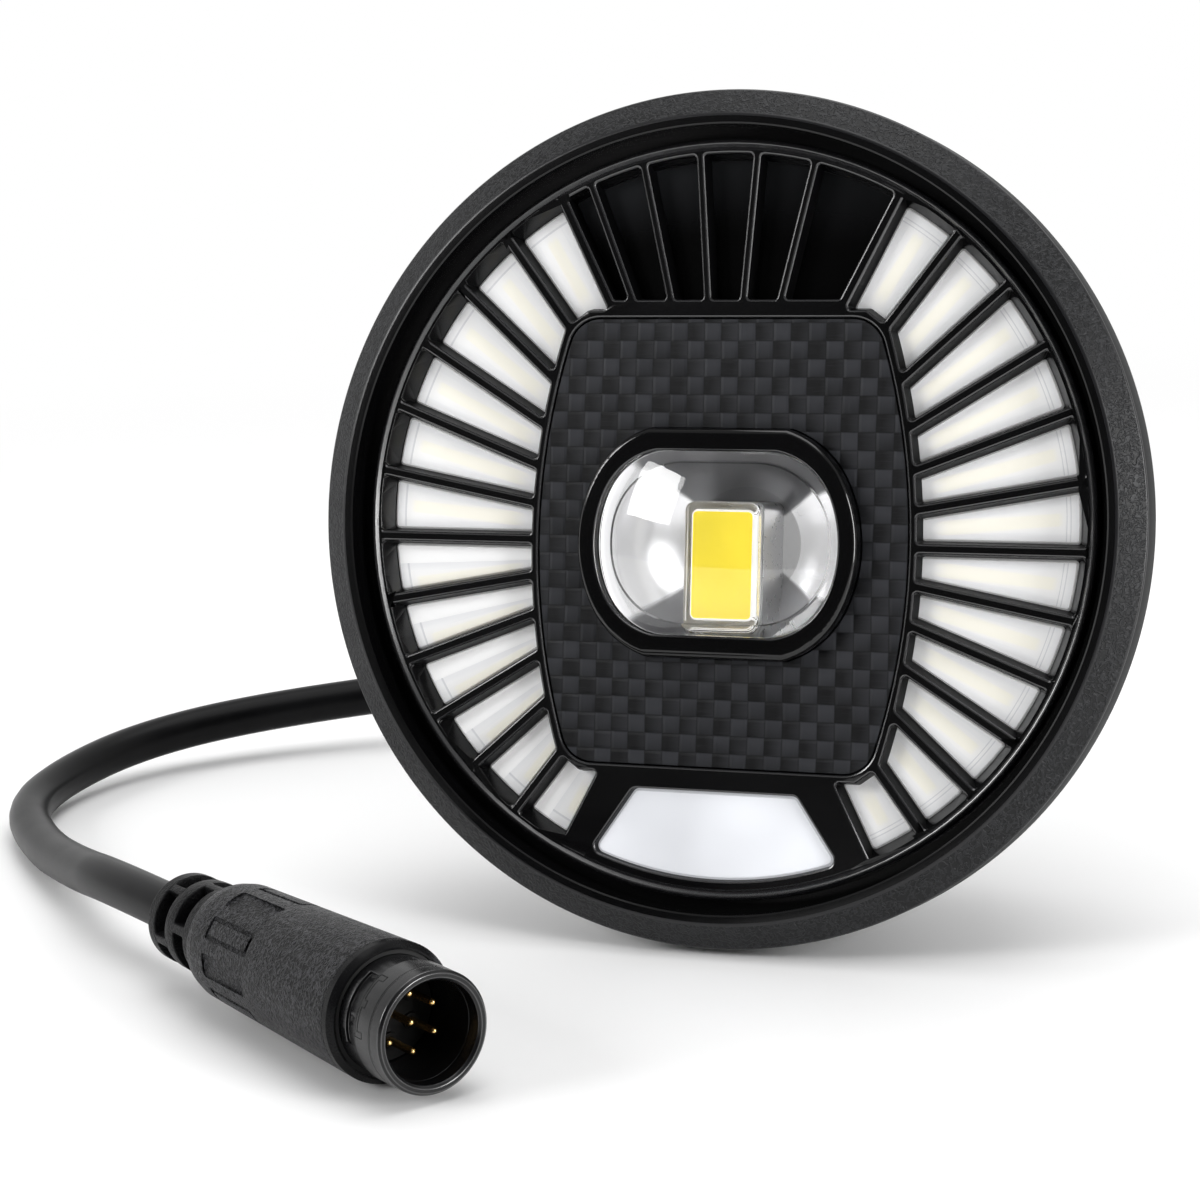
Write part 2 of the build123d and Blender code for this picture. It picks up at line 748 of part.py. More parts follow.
with BuildPart() as led_substrate:
    with BuildSketch(face(substrate_back)):
        with Locations(led_place):
            RectangleRounded(led_cover_width, led_cover_height, led_corner)
    extrude(amount=substrate_thickness)
finish(led_substrate, "led_substrate")

with BuildPart() as led_phosphor:
    with BuildSketch(face(phosphor_back)):
        with Locations(led_place):
            RectangleRounded(led_width, led_height, phosphor_corner)
    extrude(amount=phosphor_thickness)
finish(led_phosphor, "led_phosphor")

cover_height = led_cover_rise + phosphor_thickness
with BuildPart() as led_cover:
    with BuildSketch(face(phosphor_back)):
        with Locations(led_place):
            RectangleRounded(led_cover_width, led_cover_height, led_corner)
    extrude(amount=cover_height)
    crown = led_cover.faces().filter_by(GeomType.PLANE).sort_by(depth_of)[0]
    fillet(crown.edges(), led_cover_round)
    with BuildSketch(face(phosphor_back)):
        with Locations(led_place):
            RectangleRounded(led_width + fit, led_height + fit, phosphor_corner + fit / 2)
    extrude(amount=phosphor_thickness + fit / 2, mode=Mode.SUBTRACT)
finish(led_cover, "led_cover")

# Carrier that presses the boards, the guides and the reflector forwards
carrier_back = board_back + carrier_thickness
with BuildPart() as carrier_plate:
    with BuildSketch(face(board_back)):
        Circle(carrier_radius)
        add(double_d(body_size[0] + 2 * carrier_gap, body_size[1] + 2 * carrier_gap,
                     lens_bezel_corner), mode=Mode.SUBTRACT)
    extrude(amount=-carrier_thickness)
    with BuildSketch(face(board_back)):
        Circle(carrier_radius)
        Circle(carrier_radius - carrier_rim, mode=Mode.SUBTRACT)
    extrude(amount=board_back - plate_back)
    with BuildSketch(face(board_back)):
        add(double_d(*flange_size, lens_bezel_corner))
        add(double_d(body_size[0] + 2 * collar_gap, body_size[1] + 2 * collar_gap,
                     lens_bezel_corner), mode=Mode.SUBTRACT)
    extrude(amount=board_back - collar_front)
finish(carrier_plate, "carrier_plate")

with BuildPart() as driver_board:
    with BuildSketch(face(driver_front)):
        RectangleRounded(driver_width, driver_height, driver_corner)
        with Locations(led_place):
            Rectangle(pedestal[0] + 2 * driver_hole_gap, pedestal[1] + 2 * driver_hole_gap,
                      mode=Mode.SUBTRACT)
    extrude(amount=-driver_thickness)
    with BuildSketch(face(driver_front + driver_thickness)):
        with Locations((-part_x, part_y)):
            Circle(coil_radius)
        with Locations((part_x, part_y)):
            Rectangle(chip_length, chip_width)
        with Locations((-part_x, -part_y)):
            Rectangle(chip_width, chip_width)
        with Locations((part_x, -part_y)):
            with GridLocations(chip_width, 1, 2, 1):
                Circle(capacitor_radius)
    extrude(amount=-part_height)
finish(driver_board, "driver_board")

# Rear housing: die-cast bowl with fins, posts and the seats of what is screwed to it
seal_back = flange_back + seal_thickness
housing_ledge = carrier_radius - carrier_land
side_back = back_depth - back_chamfer
side_radius = back_radius + back_flare
outer_profile = [
    (0, -seal_back), (carrier_radius + fit, -seal_back), (mouth_radius - fit, -seal_back),
    (mouth_radius - fit, -band_back), (housing_flange_radius, -band_back),
    (housing_flange_radius, -band_back - housing_flange_thickness),
    (shoulder_radius, -band_back - housing_flange_thickness - shoulder_drop),
    (side_radius, -side_back), (back_radius, -back_depth), (0, -back_depth)]
cavity_profile = [
    (0, -seal_back + overrun), (carrier_radius + fit, -seal_back + overrun),
    (carrier_radius + fit, -carrier_back), (housing_ledge, -carrier_back),
    (side_radius - wall, -side_back), (back_radius - wall - floor_round, -inner_back),
    (0, -inner_back)]
fin_places = [fin_first + index * fin_pitch for index in range(fins_a_side)]
valve_place = (0, valve_height)
gland_place = (0, -gland_drop)
foot_screw_places = [(hand * foot_screw_x, -foot_screw_height) for hand in (-1, 1)]
flange_face = band_back + housing_flange_thickness


def fin(place):
    """One upright cooling fin, cut to the round back."""
    half = sqrt(fin_circle ** 2 - place ** 2)
    beside_foot = abs(place) - fin_thickness / 2 > ear_gap / 2 + foot_width + fin_clearance
    low = -half if beside_foot else -foot_high + fin_clearance
    with BuildPart(mode=Mode.PRIVATE) as blade:
        with BuildSketch(side.offset(place - fin_thickness / 2)):
            with BuildLine():
                Polyline((low, -back_depth), (low, -fin_back + fin_draft / 2),
                         (low + fin_draft / 2, -fin_back), (half - fin_draft, -fin_back),
                         (half, -back_depth), close=True)
            make_face()
        extrude(amount=fin_thickness)
    return blade.part


blades = [fin(hand * place) for place in fin_places for hand in (-1, 1)]
with BuildPart() as rear_housing:
    add(revolved(outer_profile))
    add(blades)
    add(revolved(cavity_profile), mode=Mode.SUBTRACT)
    with BuildSketch(face(inner_back)):
        with GridLocations(2 * post_x, 2 * post_y, 2, 2):
            Circle(post_radius)
    extrude(amount=inner_back - driver_front - driver_thickness)
    with BuildSketch(face(inner_back)):
        with Locations(valve_place):
            Circle(valve_stem + fit)
        with Locations(gland_place):
            Circle(gland_thread + fit)
        with Locations(*foot_screw_places):
            Circle(ear_screw_radius + fit)
    extrude(amount=-2 * wall, mode=Mode.SUBTRACT)
    with BuildSketch(face(band_back)):
        with PolarLocations(screw_circle, screw_count, start_angle=screw_start):
            Circle(screw_radius + fit)
    extrude(amount=-2 * housing_flange_thickness, mode=Mode.SUBTRACT)
    with BuildSketch(face(flange_face)):
        with PolarLocations(screw_circle, screw_count, start_angle=screw_start):
            Circle(screw_head_radius + 2 * fit)
    extrude(amount=-4 * screw_head_height, mode=Mode.SUBTRACT)
finish(rear_housing, "rear_housing")

with BuildPart() as housing_seal:
    with BuildSketch(face(flange_back)):
        Circle(mouth_radius - 2 * fit)
        Circle(mouth_radius - 2 * fit - seal_width, mode=Mode.SUBTRACT)
    extrude(amount=-seal_thickness)
finish(housing_seal, "housing_seal")

with BuildPart() as housing_screws:
    with BuildSketch(face(flange_face)):
        with PolarLocations(screw_circle, screw_count, start_angle=screw_start):
            Circle(screw_head_radius)
    extrude(amount=-screw_head_height)
    with BuildSketch(face(flange_face + screw_head_height)):
        with PolarLocations(screw_circle, screw_count, start_angle=screw_start):
            RegularPolygon(screw_head_radius / 2, 6)
    extrude(amount=screw_head_height / 2, mode=Mode.SUBTRACT)
    with BuildSketch(face(flange_face)):
        with PolarLocations(screw_circle, screw_count, start_angle=screw_start):
            Circle(screw_radius)
    extrude(amount=screw_grip)
finish(housing_screws, "housing_screws")

# Breather valve
valve_section = section_of(*valve_place)
valve_back = back_depth + valve_cap
valve_side = valve_back - valve_slot_height
with BuildPart() as breather_valve:
    with BuildSketch(valve_section):
        with BuildLine():
            Polyline((0, -inner_back + valve_reach), (valve_stem, -inner_back + valve_reach),
                     (valve_stem, -back_depth), (valve_radius, -back_depth),
                     (valve_radius, -valve_side), (valve_radius - valve_bevel, -valve_back),
                     (0, -valve_back), close=True)
        make_face()
    revolve(axis=axis_of(*valve_place))
    with BuildSketch(face(valve_side)):
        with Locations(valve_place):
            with PolarLocations(valve_radius, valve_slots):
                Rectangle(valve_slot_width, valve_slot_width)
    extrude(amount=valve_slot_height, mode=Mode.SUBTRACT)
finish(breather_valve, "breather_valve")

# Cable gland, seal, nut and the flexible boot round the lead
gland_bore = cord_radius + gland_gap
seal_outside = gland_bore + gland_seal_wall
gland_front = inner_back - gland_reach
body_back = back_depth + gland_hex_thickness
nut_back = body_back + gland_nut_length
boot_back = nut_back + boot_length
seal_bore = cord_radius + fit / 2
with BuildPart() as cable_gland:
    with BuildSketch(face(back_depth)):
        with Locations(gland_place):
            RegularPolygon(gland_hex, 6)
    extrude(amount=-gland_hex_thickness)
    with BuildSketch(face(gland_front)):
        with Locations(gland_place):
            Circle(gland_thread)
    extrude(amount=-(body_back - gland_front + gland_nut_length / 2))
    with BuildSketch(face(gland_front)):
        with Locations(gland_place):
            Circle(seal_outside)
    extrude(amount=-nut_back, mode=Mode.SUBTRACT)
finish(cable_gland, "cable_gland")

nut_section = section_of(*gland_place)
nut_axis = axis_of(*gland_place)
with BuildPart() as gland_nut:
    with BuildSketch(face(body_back)):
        with Locations(gland_place):
            RegularPolygon(gland_hex, 6)
    extrude(amount=-gland_nut_length)
    add(revolved([(0, -body_back), (gland_hex - nut_chamfer, -body_back),
                  (gland_hex, -body_back - nut_chamfer), (gland_hex, -nut_back + nut_taper),
                  (boot_radius + nut_mouth, -nut_back), (0, -nut_back)], nut_section, nut_axis),
        mode=Mode.INTERSECT)
    add(revolved([(0, -body_back + overrun), (gland_thread + fit, -body_back + overrun),
                  (gland_thread + fit, -nut_back + nut_lip), (seal_outside, -nut_back + nut_lip),
                  (seal_outside, -nut_back - overrun), (0, -nut_back - overrun)],
                 nut_section, nut_axis), mode=Mode.SUBTRACT)
finish(gland_nut, "gland_nut")

with BuildPart() as gland_seal:
    add(revolved([(seal_bore, -inner_back - 1), (seal_outside, -inner_back - 1),
                  (seal_outside, -nut_back), (seal_bore, -nut_back)], nut_section, nut_axis))
finish(gland_seal, "gland_seal")

# The boot is a tapered sleeve with grooves round it
boot_step = boot_length / boot_rings
with BuildPart() as gland_boot:
    with BuildSketch(nut_section):
        with BuildLine():
            Polyline((cord_radius + fit, -nut_back), (boot_radius, -nut_back),
                     (boot_tip_radius, -boot_back), (cord_radius + fit, -boot_back), close=True)
        make_face()
        for index in range(1, boot_rings):
            surface = boot_radius + (boot_tip_radius - boot_radius) * index / boot_rings
            with Locations((surface - boot_groove, -nut_back - index * boot_step)):
                Rectangle(2 * boot_groove, boot_step * groove_share,
                          align=(Align.MIN, Align.CENTER), mode=Mode.SUBTRACT)
    revolve(axis=nut_axis)
finish(gland_boot, "gland_boot")

# The lead goes on inside the boot, the seal and the gland
with BuildPart() as gland_lead:
    with BuildSketch(face(inner_back - lead_inside)):
        with Locations(gland_place):
            Circle(cord_radius)
    extrude(amount=-(boot_back - inner_back + lead_inside))
finish(gland_lead, "gland_lead")

# Two L-shaped ears under the back, for the bracket's bolt, and their screws
foot_back = back_depth + foot_thickness


def mount_ear(hand, name):
    """Ear of one side, with its foot and its bore."""
    inner_face = hand * ear_gap / 2
    with BuildPart() as ear:
        with BuildSketch(face(back_depth)):
            with Locations((inner_face + hand * foot_width / 2, -(foot_low + foot_high) / 2)):
                RectangleRounded(foot_width, foot_low - foot_high, foot_corner)
        extrude(amount=-foot_thickness)
        with BuildSketch(side.offset(inner_face)):
            with BuildLine():
                Polyline((-foot_high - foot_corner, -back_depth),
                         (-foot_high - foot_corner, -foot_back),
                         (pivot_height + web_reach, -pivot_depth - ear_radius),
                         (pivot_height, -pivot_depth - ear_radius),
                         (pivot_height, -back_depth), close=True)
            make_face()
            with Locations((pivot_height, -pivot_depth)):
                Circle(ear_radius)
        extrude(amount=hand * ear_thickness)
        with BuildSketch(side):
            with Locations((pivot_height, -pivot_depth)):
                Circle(pivot_bore)
        extrude(amount=hand * (ear_gap + ear_thickness), mode=Mode.SUBTRACT)
        with BuildSketch(face(back_depth)):
            with Locations(foot_screw_places[0 if hand < 0 else 1]):
                Circle(ear_screw_radius + fit)
        extrude(amount=-foot_thickness, mode=Mode.SUBTRACT)
    finish(ear, name)


mount_ear(-1, "mount_ear_left")
mount_ear(1, "mount_ear_right")

with BuildPart() as ear_screws:
    with BuildSketch(face(foot_back)):
        with Locations(*foot_screw_places):
            Circle(ear_screw_head_radius)
    extrude(amount=-ear_screw_head_height)
    with BuildSketch(face(foot_back + ear_screw_head_height)):
        with Locations(*foot_screw_places):
            RegularPolygon(ear_screw_head_radius / 2, 6)
    extrude(amount=ear_screw_head_height / 2, mode=Mode.SUBTRACT)
    with BuildSketch(face(foot_back)):
        with Locations(*foot_screw_places):
            Circle(ear_screw_radius)
    extrude(amount=foot_thickness + wall)
finish(ear_screws, "ear_screws")

# Connector, lying on the ground: depths count backwards from the barrel's front
heading = (cos(radians(connector_turn)), sin(radians(connector_turn)), 0)
plug = Plane(origin=(*connector_front, grip_front_radius), x_dir=(-heading[1], heading[0], 0),
             z_dir=heading)
plug_section = Plane(origin=plug.origin, x_dir=plug.x_dir, z_dir=-plug.y_dir)
plug_axis = Axis(plug.origin, plug.z_dir)


def plug_revolved(points):
    """Solid of revolution round the connector's axis, from (radius, depth) points."""
    return revolved([(radius, -depth) for radius, depth in points], plug_section, plug_axis)


def ring_share(inner, outer, start, end):
    """Sketch of the share of a ring between two angles in degrees."""
    with BuildSketch() as share:
        with BuildLine():
            inside = CenterArc((0, 0), inner, start, end - start)
            outside = CenterArc((0, 0), outer, start, end - start)
            Line(inside @ 0, outside @ 0)
            Line(inside @ 1, outside @ 1)
        make_face()
    return share.sketch


def round_the_grip(angle):
    """Plane that lies outside the grip's recess at an angle, its X axis along the plug."""
    turn = radians(angle)
    outwards = plug.x_dir * cos(turn) + plug.y_dir * sin(turn)
    place = plug.origin - plug.z_dir * recess_place + outwards * grip_front_radius
    return Plane(origin=place, x_dir=plug.z_dir, z_dir=outwards)


seat = grip_start + connector_seal_width
shoulder_start = grip_end - grip_shoulder
recess_angles = [recess_turn + index * 360 / recess_count for index in range(recess_count)]
with BuildPart() as connector_grip:
    add(plug_revolved([
        (barrel_body + fit, seat), (connector_seal_radius, seat),
        (connector_seal_radius, grip_start), (grip_front_radius - grip_edge, grip_start),
        (grip_front_radius, grip_start + grip_edge), (grip_back_radius, shoulder_start),
        (grip_back_radius - grip_edge / 2, grip_end - grip_shoulder / 2), (relief_radius, grip_end),
        (cord_radius + overrun, grip_end), (cord_radius + overrun, barrel_tail),
        (barrel_body + fit, barrel_tail)]))
    for index, angle in enumerate(recess_angles):
        with BuildSketch(round_the_grip(angle)):
            RectangleRounded(recess_length, recess_width, recess_corner)
            if index % 2 == 0:
                RectangleRounded(recess_length - 2 * recess_groove,
                                 recess_width - 2 * recess_groove, recess_corner / 2,
                                 mode=Mode.SUBTRACT)
        extrude(amount=recess_floor - grip_front_radius, mode=Mode.SUBTRACT)
finish(connector_grip, "connector_grip")

with BuildPart() as connector_seal:
    add(plug_revolved([
        (barrel_neck + fit / 2, grip_start + connector_seal_sink),
        (connector_seal_radius - fit / 2, grip_start + connector_seal_sink),
        (connector_seal_radius - fit / 2, seat), (barrel_neck + fit / 2, seat)]))
finish(connector_seal, "connector_seal")

with BuildPart() as connector_barrel:
    add(plug_revolved([
        (barrel_bore, barrel_edge), (barrel_bore + barrel_edge, 0),
        (barrel_radius - barrel_edge, 0), (barrel_radius, barrel_edge),
        (barrel_radius, barrel_smooth), (barrel_neck, barrel_smooth + barrel_edge),
        (barrel_neck, seat), (barrel_body, seat), (barrel_body, barrel_tail),
        (barrel_bore, barrel_tail)]))
    for copy in range(notch_count):
        turn = copy * 360 / notch_count
        with BuildSketch(plug.offset(-notch_back)):
            add(ring_share(notch_floor, barrel_radius, notch_from + turn, notch_to + turn))
        extrude(amount=notch_back - notch_front, mode=Mode.SUBTRACT)
        for leg_from, leg_to, leg_front in notch_legs:
            with BuildSketch(plug.offset(-notch_back)):
                add(ring_share(notch_floor, barrel_radius, leg_from + turn, leg_to + turn))
            extrude(amount=notch_back - leg_front, mode=Mode.SUBTRACT)
finish(connector_barrel, "connector_barrel")

with BuildPart() as pin_carrier:
    with BuildSketch(plug.offset(-cavity_depth)):
        Circle(barrel_bore - fit)
        with PolarLocations(pin_circle, pins_around, start_angle=pin_turn):
            Circle(pin_radius, mode=Mode.SUBTRACT)
        Circle(pin_radius, mode=Mode.SUBTRACT)
    extrude(amount=-carrier_disc)
    with BuildSketch(plug.offset(-cavity_depth)):
        with PolarLocations(pin_circle, pins_around, start_angle=pin_turn):
            Circle(pin_radius + pin_collar)
            Circle(pin_radius, mode=Mode.SUBTRACT)
    extrude(amount=pin_collar_height)
finish(pin_carrier, "pin_carrier")

with BuildPart() as contact_pins:
    with BuildSketch(plug.offset(-cavity_depth - carrier_disc - pin_tail)):
        with PolarLocations(pin_circle, pins_around, start_angle=pin_turn):
            Circle(pin_radius)
        Circle(pin_radius)
    extrude(amount=pin_reach + carrier_disc + pin_tail)
    tips = contact_pins.faces().filter_by(Plane(plug.origin, z_dir=plug.z_dir)).group_by(
        lambda item: plug.to_local_coords(item.center()).Z)[-1]
    chamfer(tips.edges(), pin_tip)
finish(contact_pins, "contact_pins")

# The lead goes on inside the strain relief and the grip
lead_end = barrel_tail + lead_overlap
with BuildPart() as plug_lead:
    with BuildSketch(plug.offset(-lead_end)):
        Circle(cord_radius)
    extrude(amount=lead_end - relief_end)
finish(plug_lead, "plug_lead")

# Strain relief with two rows of slots, bridged so that it bends evenly
with BuildPart() as strain_relief:
    add(plug_revolved([
        (cord_radius + fit, grip_end), (relief_radius, grip_end), (relief_tip, relief_end),
        (cord_radius + fit, relief_end)]))
    for start, end, turn in relief_rows:
        for index in range(relief_slots):
            first = turn + index * 360 / relief_slots
            with BuildSketch(plug.offset(-end)):
                add(ring_share(relief_core, relief_radius + overrun, first,
                               first + relief_slot_sweep))
            extrude(amount=end - start, mode=Mode.SUBTRACT)
finish(strain_relief, "strain_relief")

# Lead: straight runs joined by tangent arcs, from the gland's boot to the strain relief
boot_tip = lamp.from_local_coords(Vector(0, -gland_drop, -boot_back))
relief_tail = plug.from_local_coords(Vector(0, 0, -relief_end))
route = [
    boot_tip,
    boot_tip - lamp.z_dir * exit_run,
    (-12.5, 87.5, 20.5),
    (-35.0, 99.5, 16.0),
    (-64.0, 99.0, 13.0),
    (-97.0, 84.5, 11.0),
    (-126.0, 66.5, 8.8),
    (-141.0, 50.5, 6.6),
    (-146.0, 30.0, 4.6),
    (-142.3, 10.0, cord_radius),
    (-127.0, -9.5, cord_radius),
    (-110.0, -27.5, 6.2),
    relief_tail - plug.z_dir * entry_run,
    relief_tail,
]
route = [Vector(point) for point in route]

runs = [(b - a).length for a, b in zip(route, route[1:])]
turns = [(b - a).get_angle(c - b) for a, b, c in zip(route, route[1:], route[2:])]
radii = [0.45 * min(before, after) / tan(radians(turn) / 2)
         for before, after, turn in zip(runs, runs[1:], turns)]
print("runs", [round(run, 1) for run in runs])
print("turns", [round(turn, 1) for turn in turns])
print("radii", [round(radius, 1) for radius in radii])
with BuildPart() as cord:
    with BuildLine() as path:
        FilletPolyline(*route, radius=radii)
    with BuildSketch(Plane(origin=path.line @ 0, z_dir=path.line % 0)):
        Circle(cord_radius)
    sweep()
length = path.wire().length
print("cord length", round(length, 1), "volume ratio",
      round(cord.part.volume / (pi * cord_radius ** 2 * length), 5))
finish(cord, "cord")
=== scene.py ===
"""Round LED bicycle headlight with lead and plug: finishes, light and camera round the part."""
from math import atan2, cos, pi, radians, sin, sqrt

import bmesh
import bpy
from mathutils import Matrix, Vector


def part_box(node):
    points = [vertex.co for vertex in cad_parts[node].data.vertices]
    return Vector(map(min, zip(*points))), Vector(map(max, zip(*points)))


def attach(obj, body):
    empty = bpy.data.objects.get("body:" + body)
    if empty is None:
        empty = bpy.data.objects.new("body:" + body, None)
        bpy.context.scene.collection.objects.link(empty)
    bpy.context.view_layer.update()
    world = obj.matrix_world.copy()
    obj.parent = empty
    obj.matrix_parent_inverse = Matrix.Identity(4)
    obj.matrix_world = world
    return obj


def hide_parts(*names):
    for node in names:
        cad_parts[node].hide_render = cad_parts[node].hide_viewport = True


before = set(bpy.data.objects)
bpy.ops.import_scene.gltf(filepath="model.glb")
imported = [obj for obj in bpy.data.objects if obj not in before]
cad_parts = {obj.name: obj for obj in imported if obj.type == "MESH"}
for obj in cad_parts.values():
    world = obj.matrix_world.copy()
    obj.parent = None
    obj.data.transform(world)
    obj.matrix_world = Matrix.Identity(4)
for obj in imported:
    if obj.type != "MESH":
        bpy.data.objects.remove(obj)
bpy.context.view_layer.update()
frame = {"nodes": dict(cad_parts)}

bl_info = {
    "name": "Bicycle headlight",
    "version": (1, 0, 0),
    "blender": (4, 5, 0),
    "location": "3D View > Sidebar > Headlight",
    "description": "Dresses a round bicycle headlight, its lead and its plug, and sets the studio",
    "category": "Object",
}

MM = 0.001
BAND_BACK = 9.1  # depth of the bezel's outer band, in millimetres
LAYOUT_DROP = 3.5  # the spokes are centred this far below the ring's centre
SPOKE_PITCH = radians(10.5)
FRAME_FRONT = 3.4  # face of the spokes behind the bezel's lip
PAD_DEPTH = 6.0  # face of the frosted windows behind the bezel's lip
CORD_RADIUS = 3.65
CORD_ROUTE = (  # from the boot's tip to the strain relief; the loop rests on the floor
    (-12.5, 87.5, 20.5), (-35.0, 99.5, 16.0), (-64.0, 99.0, 13.0), (-97.0, 84.5, 11.0),
    (-126.0, 66.5, 8.8), (-141.0, 50.5, 6.6), (-146.0, 30.0, 4.6), (-142.3, 10.0, CORD_RADIUS),
    (-127.0, -9.5, CORD_RADIUS), (-110.0, -27.5, 6.2))
GLAND_DROP = 23.4  # the lead's gland below the ring's centre
BOOT_TIP_DEPTH = 70.5
EXIT_RUN = 21.8  # straight reach out of the boot
ENTRY_RUN = 24.4  # straight reach into the strain relief
PLUG_FRONT = (-15.8, -98.4, 10.0)
PLUG_TURN = radians(-34.8)
RELIEF_END = 69.6
LENS_DIAMETER = 38.4
LENS_HEIGHT = 28.2  # seen height of the lens, a little less than the solid's
LENS_CORNER = 11.0
LENS_FLANGE = 4.0  # how much wider the flanges of the lens and the mirror are
LENS_RIM = (44.3, 36.0, 14.5)  # width, height and corner of the lens bezel's outline
SOLID_OPENING = (38.4, 29.4, 6.0)  # the same of the solids' opening and of their outline
SOLID_RIM = (44.8, 35.8, 6.0)
WINDOW_SPOKE = 1.25  # half the width of a spoke's foot, with its clearance
WINDOW_REACH = 54.6  # outer ends of the windows, from the ring's centre
PIN_TIP_DEPTH = 6.0  # tips of the contact pins inside the plug's mouth
PIN_REACH = 12.5
LIGHT_TARGET = (0.0, -0.02, 0.065)
LIGHTS = (  # name, place, width and height in metres, and power in watts
    ("key_softbox", (-0.90, -0.80, 0.60), 0.45, 0.45, 7.5),
    ("top_softbox", (0.10, 0.0, 1.20), 1.2, 0.8, 7.0),
    ("left_strip", (-1.05, -0.25, 0.40), 0.30, 0.9, 1.5),
    ("right_strip", (1.08, -0.44, 0.22), 0.30, 0.9, 13.0))
CAMERA_PLACE = (0.142218, -0.452582, 0.146098)
CAMERA_TURNS = (radians(20.445), radians(11.456), radians(-2.376))  # yaw, pitch and roll
CAMERA_LENS, SENSOR_WIDTH = 91.964, 36.0
BODY = "root"


def lamp_matrix():
    """Millimetres across, up and forwards of the lamp's face, to metres in the row frame."""
    lean = bpy.context.scene.headlight_sizes.lean
    low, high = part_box("bezel_ring")
    radius = high.x
    back = BAND_BACK * MM
    face_y = high.y - back * cos(lean) - radius * sin(lean)
    height = low.z + radius * cos(lean) + back * sin(lean)
    place = Matrix(((1, 0, 0, 0), (0, sin(lean), -cos(lean), face_y),
                    (0, cos(lean), sin(lean), height), (0, 0, 0, 1)))
    return place @ Matrix.Scale(MM, 4)


def plug_matrix():
    """Millimetres across, up and out of the plug's mouth, to metres in the row frame."""
    x, y = cos(PLUG_TURN), sin(PLUG_TURN)
    place = Matrix(((-y, 0, x, PLUG_FRONT[0] * MM), (x, 0, y, PLUG_FRONT[1] * MM),
                    (0, 1, 0, PLUG_FRONT[2] * MM), (0, 0, 0, 1)))
    return place @ Matrix.Scale(MM, 4)


def length_property(name, description, value):
    """A length that a user may change, from its value in millimetres."""
    return bpy.props.FloatProperty(name=name, description=description, default=value * MM,
                                   unit="LENGTH", precision=5)


class HeadlightSizes(bpy.types.PropertyGroup):
    """Sizes that a user may change."""
    lean: bpy.props.FloatProperty(
        name="Lean", description="How far the head leans back", default=radians(10.5), subtype="ANGLE")
    tow: length_property("Tow width", "Width of one square of the woven panel", 2.72)
    frame_edge: length_property("Frame edge", "Rounding of the spokes' edges", 0.32)
    window_edge: length_property("Window edge", "Rounding of the frosted windows", 0.30)
    grain: length_property("Grain", "Size of the bezel's leather-like grain", 0.80)
    wrinkle: length_property("Wrinkle", "Size of the grip's wrinkles", 0.70)


def colour_property(name, description, value):
    """A colour that a user may change."""
    return bpy.props.FloatVectorProperty(name=name, description=description, default=value, size=3,
                                         subtype="COLOR", min=0, max=1)


class HeadlightColours(bpy.types.PropertyGroup):
    """Colours that a user may change."""
    bezel: colour_property("Bezel", "Wrinkled black of the bezel", (0.0060, 0.0062, 0.0068))
    frame: colour_property("Frame", "Gloss black of the spoked frame", (0.0018, 0.0018, 0.0020))
    tow_light: colour_property("Light tow", "Lighter squares of the panel", (0.026, 0.027, 0.031))
    tow_dark: colour_property("Dark tow", "Darker squares of the panel", (0.0020, 0.0021, 0.0026))
    window: colour_property("Window", "Frosted windows", (0.93, 0.93, 0.93))
    cream: colour_property("Light strip", "Strip seen through a window", (1.0, 0.96, 0.82))
    marker: colour_property("Position light", "Milky position light", (0.52, 0.53, 0.555))
    phosphor: colour_property("Phosphor", "Yellow of the main light source", (0.93, 0.75, 0.05))
    rubber: colour_property("Rubber", "Black of the lead and the plug", (0.0042, 0.0042, 0.0046))
    gold: colour_property("Gold", "Plating of the contact pins", (0.83, 0.56, 0.22))


# Node helpers

class Wire:
    """An output in a node tree; arithmetic on it makes Math nodes."""

    def __init__(self, tree, socket):
        self.tree, self.socket = tree, socket

    def math(self, operation, *values):
        """Output of a Math node that starts with this wire."""
        return calc(self.tree, operation, self, *values)

    def __abs__(self):
        return self.math("ABSOLUTE")

    def __add__(self, other):
        return self.math("ADD", other)

    def __sub__(self, other):
        return self.math("SUBTRACT", other)

    def __rsub__(self, other):
        return calc(self.tree, "SUBTRACT", other, self)

    def __mul__(self, other):
        return self.math("MULTIPLY", other)

    def __truediv__(self, other):
        return self.math("DIVIDE", other)

    def __rtruediv__(self, other):
        return calc(self.tree, "DIVIDE", other, self)


def tint(colour):
    """Plain colour from its three numbers or from its name in the settings."""
    if isinstance(colour, str):
        colour = getattr(bpy.context.scene.headlight_colours, colour)
    return tuple(colour[:3])


def give(socket, value):
    """Link a wire to an input, or set the input to a value."""
    if isinstance(value, Wire):
        value.tree.links.new(value.socket, socket)
    else:
        socket.default_value = (*tint(value), 1.0) if socket.type == "RGBA" else value


def feed(node, **values):
    """Give a node's inputs their values; an underscore stands for a space in a name."""
    for key, value in values.items():
        give(node.inputs[key.replace("_", " ")], value)


def make(tree, kind, inputs=None, **settings):
    """A new node's wires, by place and by name."""
    node = tree.nodes.new(kind)
    for key, value in settings.items():
        setattr(node, key, value)
    for key, value in (inputs or {}).items():
        give(node.inputs[key], value)
    wires = {}
    for place, socket in enumerate(node.outputs):
        wires[place] = wires[socket.name] = Wire(tree, socket)
    return wires


def tree_of(*values):
    """The tree of the first wire among some values."""
    return next(value.tree for value in values if isinstance(value, Wire))


def calc(tree, operation, *values, clamp=False):
    """Output of a Math node."""
    inputs = dict(enumerate(values))
    return make(tree, "ShaderNodeMath", inputs, operation=operation, use_clamp=clamp)[0]


